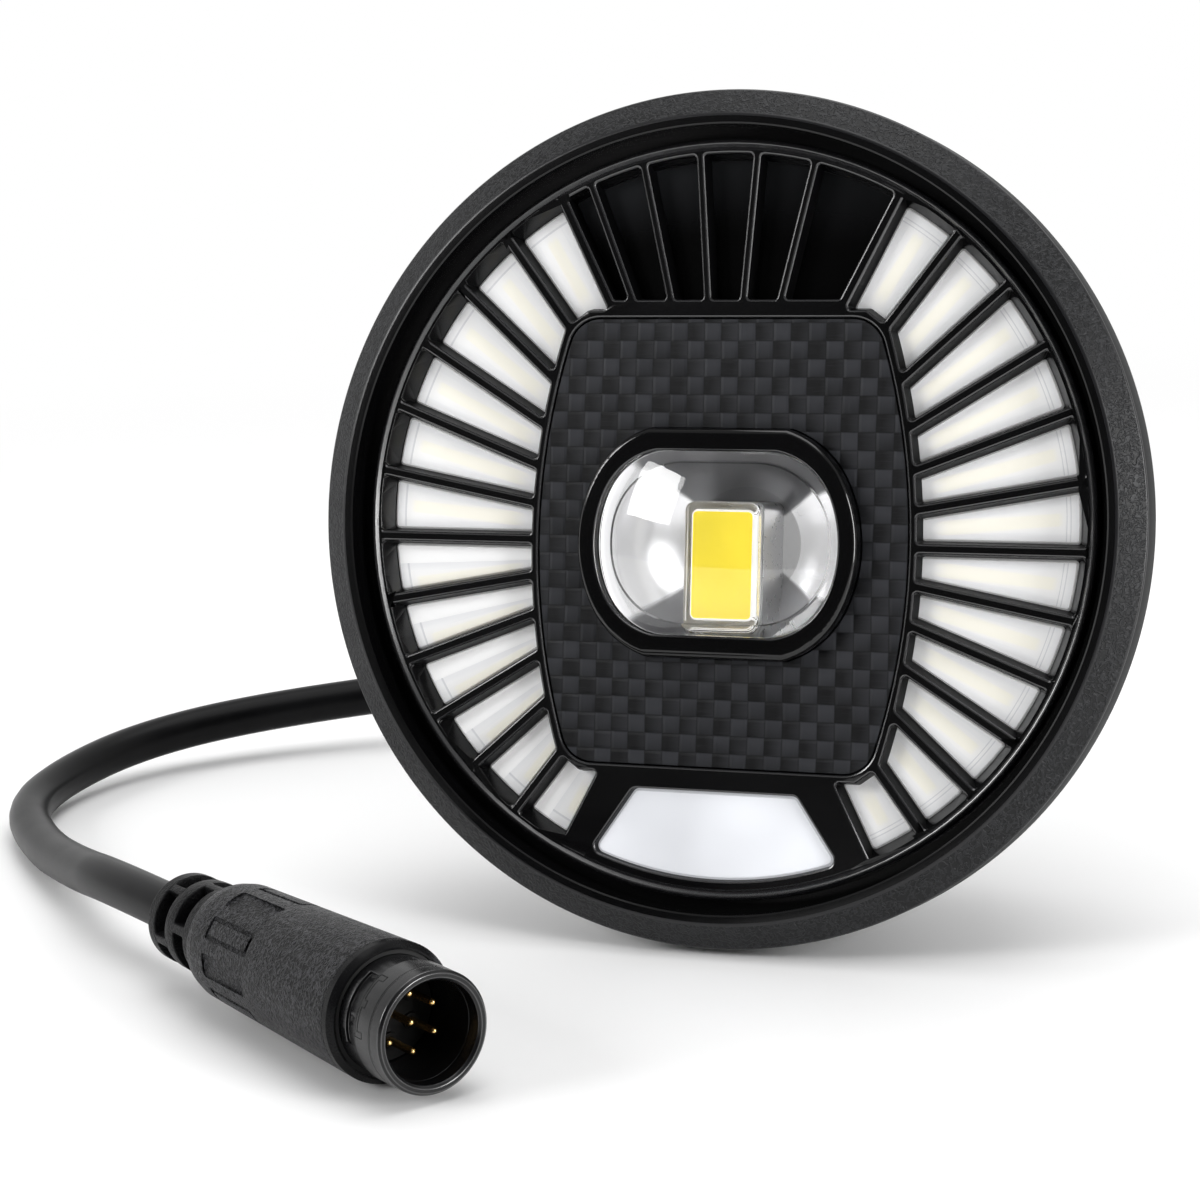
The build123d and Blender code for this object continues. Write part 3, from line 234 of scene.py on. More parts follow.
def fade(value, low, high, first=0.0, last=1.0):
    """Value mapped smoothly from one range to another."""
    inputs = {"Value": value, "From Min": low, "From Max": high, "To Min": first, "To Max": last}
    return make(value.tree, "ShaderNodeMapRange", inputs, interpolation_type="SMOOTHSTEP")["Result"]


def blend_colours(factor, first, second, mode="MIX"):
    """Mix of two colours."""
    inputs = {"Factor": factor, 6: first, 7: second}
    tree = tree_of(factor, first, second)
    return make(tree, "ShaderNodeMix", inputs, data_type="RGBA", blend_type=mode)[2]


def split(vector):
    """The three parts of a vector."""
    wires = make(vector.tree, "ShaderNodeSeparateXYZ", {"Vector": vector})
    return [wires[axis] for axis in "XYZ"]


def join(x, y, z):
    """A vector from three values."""
    return make(tree_of(x, y, z), "ShaderNodeCombineXYZ", {"X": x, "Y": y, "Z": z})[0]


def length_of(vector):
    """Length of a vector."""
    return make(vector.tree, "ShaderNodeVectorMath", {0: vector}, operation="LENGTH")["Value"]


def noise(vector, scale, detail=2.0, roughness=0.5, distortion=0.0):
    """Output value of a noise texture."""
    inputs = {"Vector": vector, "Scale": scale, "Detail": detail, "Roughness": roughness,
              "Distortion": distortion}
    return make(vector.tree, "ShaderNodeTexNoise", inputs)[0]


def bump(height, strength, depth):
    """Normal of a Bump node; depth in millimetres."""
    inputs = {"Height": height, "Strength": strength, "Distance": depth * MM}
    return make(height.tree, "ShaderNodeBump", inputs)[0]


def group_shell(name, inputs, outputs, family="ShaderNodeTree"):
    """A node group with named sockets, the wires that it is given, and its end node."""
    group = bpy.data.node_groups.new(name, family)
    for label, kind, value in inputs:
        socket = group.interface.new_socket(label, in_out="INPUT", socket_type="NodeSocket" + kind)
        if value is not None:
            socket.default_value = value
    for label, kind in outputs:
        group.interface.new_socket(label, in_out="OUTPUT", socket_type="NodeSocket" + kind)
    return group, make(group, "NodeGroupInput"), group.nodes.new("NodeGroupOutput")


def moulded_group():
    """Fine grain of moulded or coated black: colour, roughness and height that vary."""
    found = bpy.data.node_groups.get("moulded_surface")
    if found:
        return found
    group, given, end = group_shell(
        "moulded_surface",
        [("Vector", "Vector", None), ("Grain Size", "Float", 0.0004), ("Colour", "Color", (0, 0, 0, 1)),
         ("Roughness", "Float", 0.4), ("Spread", "Float", 0.1)],
        [("Colour", "Color"), ("Roughness", "Float"), ("Height", "Float")])
    scale = 1.0 / given["Grain Size"]
    fine = noise(given["Vector"], scale, 3.0, 0.6)
    broad = noise(given["Vector"], scale * 0.04)
    rough = calc(group, "MULTIPLY_ADD", fine + broad - 1.0, given["Spread"], given["Roughness"],
                 clamp=True)
    shade = fade(broad, 0.3, 0.7, 0.75, 1.25)
    feed(end, Colour=blend_colours(1.0, given["Colour"], join(shade, shade, shade), "MULTIPLY"),
         Roughness=rough, Height=fine)
    return group


def wrinkle_group():
    """Worm-like lines of a leather grain: height and a mask of the lines."""
    found = bpy.data.node_groups.get("wrinkled_surface")
    if found:
        return found
    group, given, end = group_shell(
        "wrinkled_surface", [("Vector", "Vector", None), ("Wrinkle Size", "Float", 0.0009)],
        [("Height", "Float"), ("Line", "Float")])
    scale = 1.0 / given["Wrinkle Size"]
    field = noise(given["Vector"], scale, 1.0, 0.4, 0.6)
    ridge = fade(abs(field - 0.5), 0.015, 0.13, 1.0, 0.0)
    feed(end, Height=noise(given["Vector"], scale * 5.0) * 0.25 + ridge, Line=ridge)
    return group


def new_material(name, gloss=0.5, **inputs):
    """A material, its tree and its Principled shader with the given inputs."""
    material = bpy.data.materials.new(name)
    material.use_nodes = True
    tree = material.node_tree
    shader = tree.nodes["Principled BSDF"]
    feed(shader, Specular_IOR_Level=gloss, **inputs)
    return material, tree, shader


def object_place(tree):
    """Object coordinates, which are the row frame in metres."""
    return make(tree, "ShaderNodeTexCoord")["Object"]


def place_in(tree, matrix):
    """Millimetres in the axes of the lamp's face or of the plug."""
    inverse = matrix.inverted()
    inputs = {"Vector": object_place(tree), "Location": inverse.translation,
              "Rotation": inverse.to_3x3().normalized().to_euler(), "Scale": (1 / MM,) * 3}
    return make(tree, "ShaderNodeMapping", inputs, vector_type="POINT")[0]


def moulded(name, colour, roughness, grain=0.4, spread=0.12, depth=0.02, **inputs):
    """Moulded or coated material with a fine grain; grain and depth in millimetres."""
    material, tree, shader = new_material(name, **inputs)
    grained = make(tree, "ShaderNodeGroup", {
        "Vector": object_place(tree), "Grain Size": grain * MM, "Colour": colour,
        "Roughness": roughness, "Spread": spread}, node_tree=moulded_group())
    feed(shader, Base_Color=grained["Colour"], Roughness=grained["Roughness"],
         Normal=bump(grained["Height"], 0.5, depth))
    return material


def wrinkled(name, colour, roughness, wrinkle, depth, smooth_at=None, glint=1.3, **inputs):
    """Leather-like black with wrinkles of a size in metres, their lines painted lighter by glint as a
    painted highlight; smooth_at masks its smooth parts.
    """
    material, tree, shader = new_material(name, **inputs)
    place = object_place(tree)
    skin = make(tree, "ShaderNodeGroup", {"Vector": place, "Wrinkle Size": wrinkle},
                node_tree=wrinkle_group())
    grained = make(tree, "ShaderNodeGroup", {
        "Vector": place, "Grain Size": wrinkle * 0.4, "Colour": colour, "Roughness": roughness,
        "Spread": 0.15}, node_tree=moulded_group())
    height, line, rough = skin["Height"], skin["Line"], grained["Roughness"]
    if smooth_at is not None:
        cover = smooth_at(tree)
        height, line = height * cover, line * cover
        rough = rough * fade(cover, 0.0, 1.0, 0.8, 1.0)
    # Painted highlight: the wrinkle lines are glint times lighter than the black.
    lighter = [part * glint for part in tint(colour)]
    feed(shader, Base_Color=blend_colours(line, grained["Colour"], lighter), Roughness=rough,
         Normal=bump(height, 1.0, depth))
    return material


def body_of_grip(tree):
    """1 on the grip's wrinkled body and 0 on its smooth front ring."""
    return fade(split(place_in(tree, plug_matrix()))[2], -13.0, -12.4, 1.0, 0.0)


def frosted_material(name, outer_lines):
    """Frosted window: a painted highlight on its rim, painted shade in grey inside it, a pale strip
    down the middle, and a painted glow.
    """
    # The emission is a painted glow that brightens the windows.
    material, tree, shader = new_material(name, gloss=0.35, IOR=1.49, Emission_Strength=0.11)
    stored = make(tree, "ShaderNodeAttribute", attribute_name="window_place")
    along, across, start = split(stored["Vector"])
    across = abs(across)
    half_pitch = SPOKE_PITCH / 2
    side = along * sin(half_pitch) - WINDOW_SPOKE - across * cos(half_pitch)
    x, y, _ = split(place_in(tree, lamp_matrix()))
    outer = WINDOW_REACH - length_of(join(x, y, 0.0))
    inner = along - start
    edge = side.math("MINIMUM", outer.math("MINIMUM", inner))
    # Painted highlight: the rim is lighter than the window; painted shade: grey near the edges.
    rim = fade(edge, 0.20, 0.42, 1.0, 0.0)
    shadow = fade(edge, 0.30, 2.2, 1.0, 0.0)
    streak = noise(join(along * 0.05, across * 2.2, start), 1.0, 3.0)
    strip = fade(across, 0.7, 1.3, 1.0, 0.0) * fade(outer, 2.0, 3.6) * fade(inner, 1.5, 5.0)
    grey = blend_colours(shadow * 0.5, "window", (0.70, 0.71, 0.73))
    streaked = blend_colours(fade(streak, 0.45, 0.75, 0.0, 0.30), grey, (0.80, 0.81, 0.83))
    shown = blend_colours(strip * 0.75, streaked, "cream")
    for line_place, width in outer_lines:
        line = fade(abs(outer - line_place), width / 2, width, 0.5, 0.0)
        shown = blend_colours(line, shown, (0.52, 0.53, 0.56))
    white = blend_colours(rim, shown, (0.97, 0.97, 0.97))
    feed(shader, Base_Color=white, Emission_Color=white, Roughness=fade(streak, 0.3, 0.7, 0.28, 0.40))
    return material


def smoked_material():
    """Gloss black of the bay's floor, with painted light that makes it lighter towards its top and its
    left.
    """
    material, tree, shader = new_material("bay_black", Roughness=0.22, gloss=0.15)
    x, y, _ = split(place_in(tree, lamp_matrix()))
    # Painted light: the floor is lighter towards its top and its left.
    painted_top_left_light = fade(abs(x) * 0.16 + y, 43.0, 56.0) * fade(x, -24.0, 18.0, 1.0, 0.35)
    feed(shader, Base_Color=blend_colours(painted_top_left_light, (0.0008, 0.0008, 0.0009), (0.020, 0.021, 0.023)))
    return material


def mirror_material():
    """Coating of the bowl, with painted reflections: bright, glowing fans at its sides, grey at its
    top, bottom and floor.
    """
    # The emission is a painted glow in the bright fans.
    material, tree, shader = new_material("mirror_coating", Metallic=1.0, Emission_Strength=0.30)
    x, y, _ = split(place_in(tree, lamp_matrix()))
    y = y + LAYOUT_DROP
    reach = length_of(join(x, y, 0.0))
    # Painted reflection: the sides are light and the top and bottom grey.
    painted_reflection_fans = fade(abs(y) / reach.math("MAXIMUM", 0.1), 0.56, 0.62, 1.0, 0.0)
    tone = blend_colours(painted_reflection_fans, (0.34, 0.34, 0.35), (0.97, 0.97, 0.98))
    # The floor of the bowl is painted darker grey, also a painted reflection.
    floor = fade(reach, 8.6, 8.9, 1.0, 0.0)
    feed(shader, Base_Color=blend_colours(floor, tone, (0.30, 0.30, 0.31)),
         Emission_Color=blend_colours(painted_reflection_fans, (0, 0, 0), (1, 1, 1)),
         Roughness=fade(painted_reflection_fans, 0.0, 1.0, 0.42, 0.16))
    return material


def woven_material():
    """Weave of the centre panel: two tones, which are partly the weave's pattern and partly painted
    sheen, fibres, dark lines between the tows, and painted shade across each tow.
    """
    tow = bpy.context.scene.headlight_sizes.tow / MM
    material, tree, shader = new_material("woven_panel", gloss=0.2)
    place = place_in(tree, lamp_matrix())
    x, y, _ = split(place)
    x = noise(place, 0.05, 1.0) + x
    across, up = x / tow, y / tow
    column, row = across.math("FLOOR"), up.math("FLOOR")
    parity = (column + row).math("PINGPONG", 1.0)
    inside_x, inside_y = across.math("FRACT") - 0.5, up.math("FRACT") - 0.5
    out_x, out_y = abs(inside_x), abs(inside_y)
    fine, long = 7.0, 0.25

    def by_parity(first, second):
        """The first on one half of the squares and the second on the others."""
        return make(tree, "ShaderNodeMix", {"Factor": parity, 2: first, 3: second})[0]

    fibre = by_parity(noise(join(x * long, y * fine, 0.0), 1.0, 3.0, 0.65),
                      noise(join(x * fine, y * long, 4.0), 1.0, 3.0, 0.65))
    bulge = by_parity(*(fade(out, 0.30, 0.5, 1.0, 0.0) for out in (out_y, out_x)))
    tow_slope_and_shade = by_parity(inside_x, inside_y)
    seam = fade(out_x.math("MAXIMUM", out_y), 0.43, 0.495)
    cell = make(tree, "ShaderNodeTexWhiteNoise", {"Vector": join(column, row, 0.0)})[0]
    patch = noise(join(across, up, 7.0), 0.45, 1.0)
    # Painted shade: each square darkens towards one side as its tow curves; the parity checker is the
    # weave's pattern and partly painted sheen.
    tone = tow_slope_and_shade * 0.65 + patch * 0.6 + cell * 0.42 + parity * 0.62 - 0.34
    woven = blend_colours(tone, "tow_dark", "tow_light")
    brushed = blend_colours(fade(fibre, 0.50, 0.78, 0.0, 0.30), woven, (0.030, 0.031, 0.036))
    feed(shader, Base_Color=blend_colours(seam * 0.6, brushed, (0.0015, 0.0015, 0.002)),
         Roughness=fade(fibre, 0.3, 0.7, 0.38, 0.56),
         Normal=bump(tow_slope_and_shade * 1.6 + fibre * 0.2 + bulge, 0.9, 0.09))
    return material


def clear_material(name):
    """Clear moulded plastic."""
    return new_material(name, Base_Color=(1, 1, 1), Roughness=0.0, IOR=1.49, Transmission_Weight=1.0)[0]


def barrel_material():
    """Satin black of the plug's barrel, with a groove behind its lip and a hooked slot, pressed in by a
    bump and painted near black as painted shade.
    """
    material, tree, shader = new_material("barrel_black", Roughness=0.27, gloss=0.34)
    x, y, out = split(place_in(tree, plug_matrix()))
    turn = y.math("ARCTAN2", x).math("DEGREES")
    depth = out * -1.0

    def between(value, low, high, soft):
        """1 between two limits."""
        return fade(value, low - soft, low + soft) * fade(value, high - soft, high + soft, 1.0, 0.0)

    # The groove and the slots are painted near black: painted shade in the recesses.
    recess_shape_and_shade = between(depth, 2.35, 2.65, 0.08) * 0.7
    slots = [((118.0, 180.0), (5.5, 6.0)), ((118.0, 124.0), (4.4, 6.0)),
             ((145.0, 152.0), (4.8, 6.0)), ((174.0, 180.0), (4.4, 6.0))]
    for turns, depths in slots:
        recess_shape_and_shade = recess_shape_and_shade.math("MAXIMUM", between(turn, *turns, 0.8) * between(depth, *depths, 0.1))
    feed(shader, Base_Color=blend_colours(recess_shape_and_shade, (0.0040, 0.0040, 0.0045), (0.0003, 0.0003, 0.0003)),
         Normal=bump(1.0 - recess_shape_and_shade, 1.0, 0.25))
    return material


def metal_material(name, colour, roughness, spread=0.06, scale=900.0):
    """Plated or brushed metal."""
    material, tree, shader = new_material(name, Base_Color=colour, Metallic=1.0)
    grain = noise(object_place(tree), scale, 3.0)
    feed(shader, Roughness=fade(grain, 0.3, 0.7, roughness - spread / 2, roughness + spread / 2))
    return material


# Mesh helpers

def new_object(name, data):
    """A new object in the scene."""
    made = bpy.data.objects.new(name, data)
    bpy.context.scene.collection.objects.link(made)
    return made


def mesh_object(mesh, material, smooth_below=35.0):
    """An object with one material, smooth apart from its sharp edges."""
    piece = new_object(mesh.name, mesh)
    mesh.materials.clear()
    mesh.materials.append(material)
    mesh.shade_smooth()
    mesh.set_sharp_from_angle(angle=radians(smooth_below))
    return piece


def place_piece(piece, slot, *nodes):
    """Put a finished piece on the body, in the place of the solids that it stands for."""
    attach(piece, BODY)
    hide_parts(*nodes)


def join_flat(work, edges):
    """Join the flat faces that meet at the given edges."""
    verts = list(dict.fromkeys(vertex for edge in edges for vertex in edge.verts))
    bmesh.ops.dissolve_limit(work, angle_limit=radians(0.4), verts=verts, edges=edges)


def merged_copy(node, joined=True):
    """Mesh of a solid with its doubles merged and, if asked, its flat faces joined."""
    work = bmesh.new()
    work.from_mesh(frame["nodes"][node].data)
    bmesh.ops.remove_doubles(work, verts=work.verts, dist=0.002 * MM)
    if joined:
        join_flat(work, work.edges[:])
    return work


def to_mesh(work, name, place=None):
    """A mesh from a bmesh, moved to its place."""
    if place is not None:
        work.transform(place)
    mesh = bpy.data.meshes.new(name)
    work.to_mesh(mesh)
    work.free()
    return mesh


def paint_faces(piece, place, materials, choose):
    """Give each face one of the piece's materials, chosen from its middle and normal."""
    for material in materials:
        piece.data.materials.append(material)
    inverse = place.inverted()
    turn = inverse.to_3x3().normalized()
    for face in piece.data.polygons:
        face.material_index = choose(inverse @ face.center, turn @ face.normal)


def edge_gloss():
    """Rounded edges of gloss mouldings, which catch the light; their black is a little lighter than the
    frame's, as a painted highlight.
    """
    found = bpy.data.materials.get("edge_gloss")
    return found or new_material("edge_gloss", 1.0, Base_Color=(0.010, 0.010, 0.011), Roughness=0.24)[0]


def soften_front(work, tops, rings):
    """Round the rims of flat faces by rings of (width, drop) in millimetres, from the outside."""
    for width, drop in rings:
        made = bmesh.ops.inset_region(work, faces=tops, thickness=width, depth=0.0,
                                      use_even_offset=True)["faces"]
        inner = {vertex for face in tops for vertex in face.verts}
        for vertex in {vertex for face in made for vertex in face.verts} - inner:
            vertex.co.z -= drop


def rounded_copy(node, material, slot, edge, segments=2, work=None, shine=None):
    """A solid with its edges rounded, in its place; shine is the material of the edges."""
    piece = mesh_object(to_mesh(work or merged_copy(node), node + "_skin"), material)
    bevel = piece.modifiers.new("rounded_edges", "BEVEL")
    bevel.width = edge * MM
    bevel.segments = segments
    bevel.limit_method = "ANGLE"
    bevel.angle_limit = radians(35.0)
    bevel.harden_normals = True
    bevel.miter_outer = "MITER_ARC"
    if shine:
        piece.data.materials.append(shine)
        bevel.material = 1
    place_piece(piece, slot, node)


def dress(material, *nodes):
    """Give solids that stay their material."""
    for node in nodes:
        data = frame["nodes"][node].data
        data.materials.clear()
        data.materials.append(material)


def lofted(name, rings, material, place, smooth_below):
    """A closed skin through rings of points; a ring of one point is a pole."""
    work = bmesh.new()
    loops = [[work.verts.new(point) for point in ring] for ring in rings]
    most = max(len(loop) for loop in loops)
    for first, second in zip(loops, loops[1:] + loops[:1]):
        if len(first) == 1 and len(second) == 1:
            continue
        for step in range(most):
            corners = [first[step % len(first)], first[(step + 1) % len(first)],
                       second[(step + 1) % len(second)], second[step % len(second)]]
            corners = list(dict.fromkeys(corners))
            if len(corners) > 2:
                work.faces.new(corners)
    bmesh.ops.recalc_face_normals(work, faces=work.faces)
    return mesh_object(to_mesh(work, name, place), material, smooth_below)


def spread(first, last, steps):
    """Evenly spaced values from one to another, both included."""
    return [first + (last - first) * step / steps for step in range(steps + 1)]


def bend(first, control, last, part):
    """Number or point at a part of the way along a curve that its control pulls aside."""
    return (1 - part) ** 2 * first + 2 * part * (1 - part) * control + part ** 2 * last


def softened(outline, radius, corners, steps=4):
    """An outline with the corners at the given places rounded."""
    result = []
    for index, point in enumerate(outline):
        corner = Vector(point)
        if index not in corners:
            result.append(point)
            continue
        first, last = (corner + (Vector(outline[beside]) - corner).normalized() * radius
                       for beside in (index - 1, index + 1))
        result += [bend(first, corner, last, part) for part in spread(0.0, 1.0, steps)]
    return result


def double_d(diameter, height, corner=LENS_CORNER, steps=24):
    """Outline of a circle cut by a flat at its top and its bottom, with blended corners."""
    radius, half = diameter / 2, height / 2
    rise = half - corner
    run = sqrt((radius - corner) ** 2 - rise ** 2)
    touch = atan2(rise, run)
    quarter = [(radius * cos(turn), radius * sin(turn)) for turn in spread(0, touch, steps)]
    quarter += [(run + corner * cos(turn), rise + corner * sin(turn))
                for turn in spread(touch, pi / 2, steps // 2)[1:]]
    quarter += [(run * (1 - part), half) for part in (0.33, 0.66)]
    upper = quarter + [(0.0, half)] + [(-x, y) for x, y in reversed(quarter)]
    return upper + [(x, -y) for x, y in reversed(upper[1:-1])]


def lens_outline(more=0.0):
    """Outline of the lens, wider and higher by some millimetres."""
    return double_d(LENS_DIAMETER + more, LENS_HEIGHT + more)


def reach_of(outline, way):
    """How far an outline reaches in a direction."""
    for first, last in zip(outline, outline[1:] + outline[:1]):
        if first[0] * way.y - first[1] * way.x >= 0 >= last[0] * way.y - last[1] * way.x:
            along = (last[0] - first[0], last[1] - first[1])
            return (first[0] * along[1] - first[1] * along[0]) / (way.x * along[1] - way.y * along[0])
    raise RuntimeError("the outline has a gap")


def fuller_corners(work, least):
    """Move a solid's rings round the lens, from a least distance on, to fuller corners."""
    lamp = lamp_matrix()
    work.transform(lamp.inverted())
    old_in, old_out = double_d(*SOLID_OPENING), double_d(*SOLID_RIM)
    new_in, new_out = lens_outline(), double_d(*LENS_RIM)
    for vertex in work.verts:
        way = Vector((vertex.co.x, vertex.co.y + LAYOUT_DROP))
        reach = way.length
        way.normalize()
        low, high = reach_of(old_in, way), reach_of(old_out, way)
        if not least <= reach - high <= 2.5:
            continue
        goal_low, goal_high = reach_of(new_in, way), reach_of(new_out, way)
        part = (reach - low) / (high - low)
        moved = goal_low + part * (goal_high - goal_low) if part < 1 else reach + goal_high - high
        vertex.co.x, vertex.co.y = way.x * moved, way.y * moved - LAYOUT_DROP
    work.transform(lamp)
    return work


def ring_at(outline, forward):
    """An outline of the layout as a ring of points at a distance forwards of the lip."""
    return [(x, y - LAYOUT_DROP, forward) for x, y in outline]


# Stage


class HEADLIGHT_OT_stage(bpy.types.Operator):
    """Make the pale floor, the light and the camera."""
    bl_idname = "headlight.stage"
    bl_label = "Studio"

    def execute(self, context):
        self.floor()
        self.world(context)
        for name, place, width, height, watts in LIGHTS:
            data = bpy.data.lights.new(name, "AREA")
            data.shape = "RECTANGLE"
            data.size, data.size_y, data.energy = width, height, watts
            light = new_object(name, data)
            light.location = place
            way = Vector(LIGHT_TARGET) - Vector(place)
            light.rotation_euler = way.to_track_quat("-Z", "Y").to_euler()
        self.camera(context)
        return {"FINISHED"}

    def floor(self):
        """A wide pale disc that turns to plain white away from the lamp."""
        work = bmesh.new()
        bmesh.ops.create_circle(work, cap_ends=True, segments=96, radius=60.0)
        material, tree, shader = new_material("studio_floor", gloss=0.3, Roughness=0.45,
                                              Base_Color=(0.93, 0.93, 0.93))
        path = make(tree, "ShaderNodeLightPath")
        bounced = path["Is Glossy Ray"].math("MAXIMUM", path["Is Transmission Ray"])
        seen = path["Is Camera Ray"].math("MAXIMUM", bounced)
        white = fade(length_of(object_place(tree)), 0.28, 0.75)
        plain = make(tree, "ShaderNodeEmission", {"Color": (1, 1, 1), "Strength": 1.0})
        mixed = make(tree, "ShaderNodeMixShader", {
            0: seen * white, 1: Wire(tree, shader.outputs[0]), 2: plain[0]})
        feed(tree.nodes["Material Output"], Surface=mixed[0])
        mesh_object(to_mesh(work, "studio_floor"), material)

    def world(self, context):
        """White behind the lamp, grey behind the camera."""
        world = bpy.data.worlds.new("studio")
        context.scene.world = world
        world.use_nodes = True
        tree = world.node_tree
        across, depth, height = split(make(tree, "ShaderNodeTexCoord")["Generated"])
        behind = fade(depth, -0.30, 0.40, 0.05, 1.0)
        beside = fade(across, 0.52, 0.62, 0.0, 0.40)
        above = fade(height, 0.55, 0.75, 0.0, 0.35)
        feed(tree.nodes["Background"], Strength=1.0,
             Color=behind.math("MAXIMUM", beside.math("MAXIMUM", above)))

    def camera(self, context):
        """The camera of the photograph, worked out from the bezel's rings."""
        yaw, pitch, roll = CAMERA_TURNS
        forward = Vector((-sin(yaw) * cos(pitch), cos(yaw) * cos(pitch), -sin(pitch)))
        level = forward.cross(Vector((0, 0, 1))).normalized()
        upright = level.cross(forward)
        across = level * cos(roll) + upright * sin(roll)
        up = upright * cos(roll) - level * sin(roll)
        data = bpy.data.cameras.new("studio_camera")
        data.sensor_width, data.lens = SENSOR_WIDTH, CAMERA_LENS
        data.clip_start = 0.01
        camera = new_object("studio_camera", data)
        turn = Matrix((across, up, -forward)).transposed().to_4x4()
        camera.matrix_world = Matrix.Translation(CAMERA_PLACE) @ turn
        context.scene.camera = camera
        context.scene.view_settings.view_transform = "Standard"


class HEADLIGHT_OT_lead(bpy.types.Operator):
    """Make the free lead from the boot to the strain relief."""
    bl_idname = "headlight.lead"
    bl_label = "Lead"

    def execute(self, context):
        lamp, plug = lamp_matrix(), plug_matrix()
        boot_tip = lamp @ Vector((0, -GLAND_DROP, -BOOT_TIP_DEPTH))
        relief_tail = plug @ Vector((0, 0, -RELIEF_END))
        route = [boot_tip, lamp @ Vector((0, -GLAND_DROP, -BOOT_TIP_DEPTH - EXIT_RUN))]
        route += [Vector(point) * MM for point in CORD_ROUTE]
        route += [plug @ Vector((0, 0, -RELIEF_END - ENTRY_RUN)), relief_tail]
        curve = bpy.data.curves.new("lead", "CURVE")
        curve.dimensions = "3D"
        curve.bevel_depth = CORD_RADIUS * MM
        curve.bevel_resolution = 8
        curve.resolution_u = 24
        spline = curve.splines.new("NURBS")
        spline.points.add(len(route) - 1)
        for point, place in zip(spline.points, route):
            point.co = (*place, 1.0)
        spline.order_u = 3
        spline.use_endpoint_u = True
        curve.materials.append(moulded(
            "lead_jacket", "rubber", 0.33, grain=0.25, spread=0.08, depth=0.008, gloss=0.10))
        lead = new_object("lead", curve)
        place_piece(lead, "cord", "cord")
        return {"FINISHED"}


class HEADLIGHT_OT_bezel(bpy.types.Operator):
    """Make the bezel ring: a wrinkled cone, a gloss lip and a satin band."""
    bl_idname = "headlight.bezel"
    bl_label = "Bezel ring"

    def execute(self, context):
        cone = wrinkled("bezel_cone", "bezel", 0.44, context.scene.headlight_sizes.grain, 0.09,
                        glint=2.5, gloss=0.26)
        lip = moulded("bezel_lip", "frame", 0.20, grain=0.8, spread=0.04, depth=0.002, gloss=0.35)
        band = moulded("bezel_band", "bezel", 0.42, grain=0.5, spread=0.08, depth=0.006, gloss=0.02)
        corner = new_material("bezel_corner", 0.45, Base_Color=(0.008, 0.008, 0.009), Roughness=0.30)[0]
        outer, cone_start, mouth, ledge = 65.0, 61.0, 59.5, 57.9  # radii
        cone_depth, ledge_front, ledge_back = 2.8, 6.0, 7.4
        sharp = [(mouth, -0.15), (mouth + 0.25, 0.0), (cone_start, 0.0), (outer, -cone_depth),
                 (outer, -BAND_BACK), (mouth, -BAND_BACK), (mouth, -ledge_back), (ledge, -ledge_back),
                 (ledge, -ledge_front), (mouth, -ledge_front)]
        turns = spread(0.0, 2 * pi, 288)[:-1]
        rings = [[(radius * cos(turn), radius * sin(turn), forward) for turn in turns]
                 for radius, forward in softened(sharp, 0.28, (2, 3, 4))]
        ring = lofted("bezel", rings, cone, lamp_matrix(), 25.0)
        cone_rise = cos(atan2(cone_depth, outer - cone_start))

        def zone(middle, normal):
            """Lip, cone, band or a rounded corner between them."""
            reach = sqrt(middle.x ** 2 + middle.y ** 2)
            if reach < cone_start - 0.25:
                return 1
            if abs(normal.z - cone_rise) < 0.02:
                return 0
            return 2 if reach > outer - 0.1 and abs(normal.z) < 0.05 else 3

        paint_faces(ring, lamp_matrix(), [lip, band, corner], zone)
        place_piece(ring, "bezel", "bezel_ring")
        return {"FINISHED"}


class HEADLIGHT_OT_face(bpy.types.Operator):
    """Make the spoked frame, the dark panel of its bay and the centre panel."""
    bl_idname = "headlight.face"
    bl_label = "Spoked frame and panels"

    def execute(self, context):
        satin = moulded("frame_black", "frame", 0.17, grain=0.8, spread=0.04, depth=0.002, gloss=0.42)
        shiny = moulded("lens_bezel_black", "frame", 0.09, grain=1.5, spread=0.02, depth=0.001)
        wall = moulded("frame_wall", "frame", 0.35, grain=0.8, spread=0.04, depth=0.002, gloss=0.08)
        self.spokes(context.scene.headlight_sizes.frame_edge / MM, satin, wall)
        bezel = fuller_corners(merged_copy("lens_bezel"), -20.0)
        rounded_copy("lens_bezel", shiny, "frame", 0.35, 3, work=bezel, shine=edge_gloss())
        dress(smoked_material(), "bay_panel")
        panel = fuller_corners(merged_copy("centre_panel"), -0.5)
        rounded_copy("centre_panel", woven_material(), "woven", 0.12, 2, work=panel)
        # The emission is a painted glow that makes the position light evenly bright.
        milky = moulded("marker_milky", "marker", 0.60, grain=1.2, spread=0.05, depth=0.003,
                        gloss=0.08, Emission_Strength=0.60, Emission_Color="marker")
        dress(milky, "position_lens")
        return {"FINISHED"}

    def spokes(self, edge, satin, wall):
        """The spoked frame with rounded, shinier edges round its openings, painted a little lighter as
        a painted highlight.
        """
        lamp = lamp_matrix()
        work = merged_copy("face_frame", joined=False)
        work.transform(lamp.inverted())
        work.normal_update()
        tops = [face for face in work.faces
                if face.normal.z > 0.995 and face.calc_center_median().z > -FRAME_FRONT - 0.1]
        held = {vertex for face in tops for vertex in face.verts}
        join_flat(work, [line for line in work.edges if held.isdisjoint(line.verts)])
        soften_front(work, tops, [(edge * 0.45, edge * 0.75), (edge * 0.55, edge * 0.22)])
        piece = mesh_object(to_mesh(work, "face_frame_skin", lamp), satin, 14.0)

        def zone(middle, normal):
            """Rounded edge, wall or front."""
            if 0.45 < normal.z < 0.98 and middle.z > -FRAME_FRONT - edge:
                return 2
            return int(abs(normal.z) < 0.4)

        paint_faces(piece, lamp, [wall, edge_gloss()], zone)
        place_piece(piece, "frame", "face_frame")


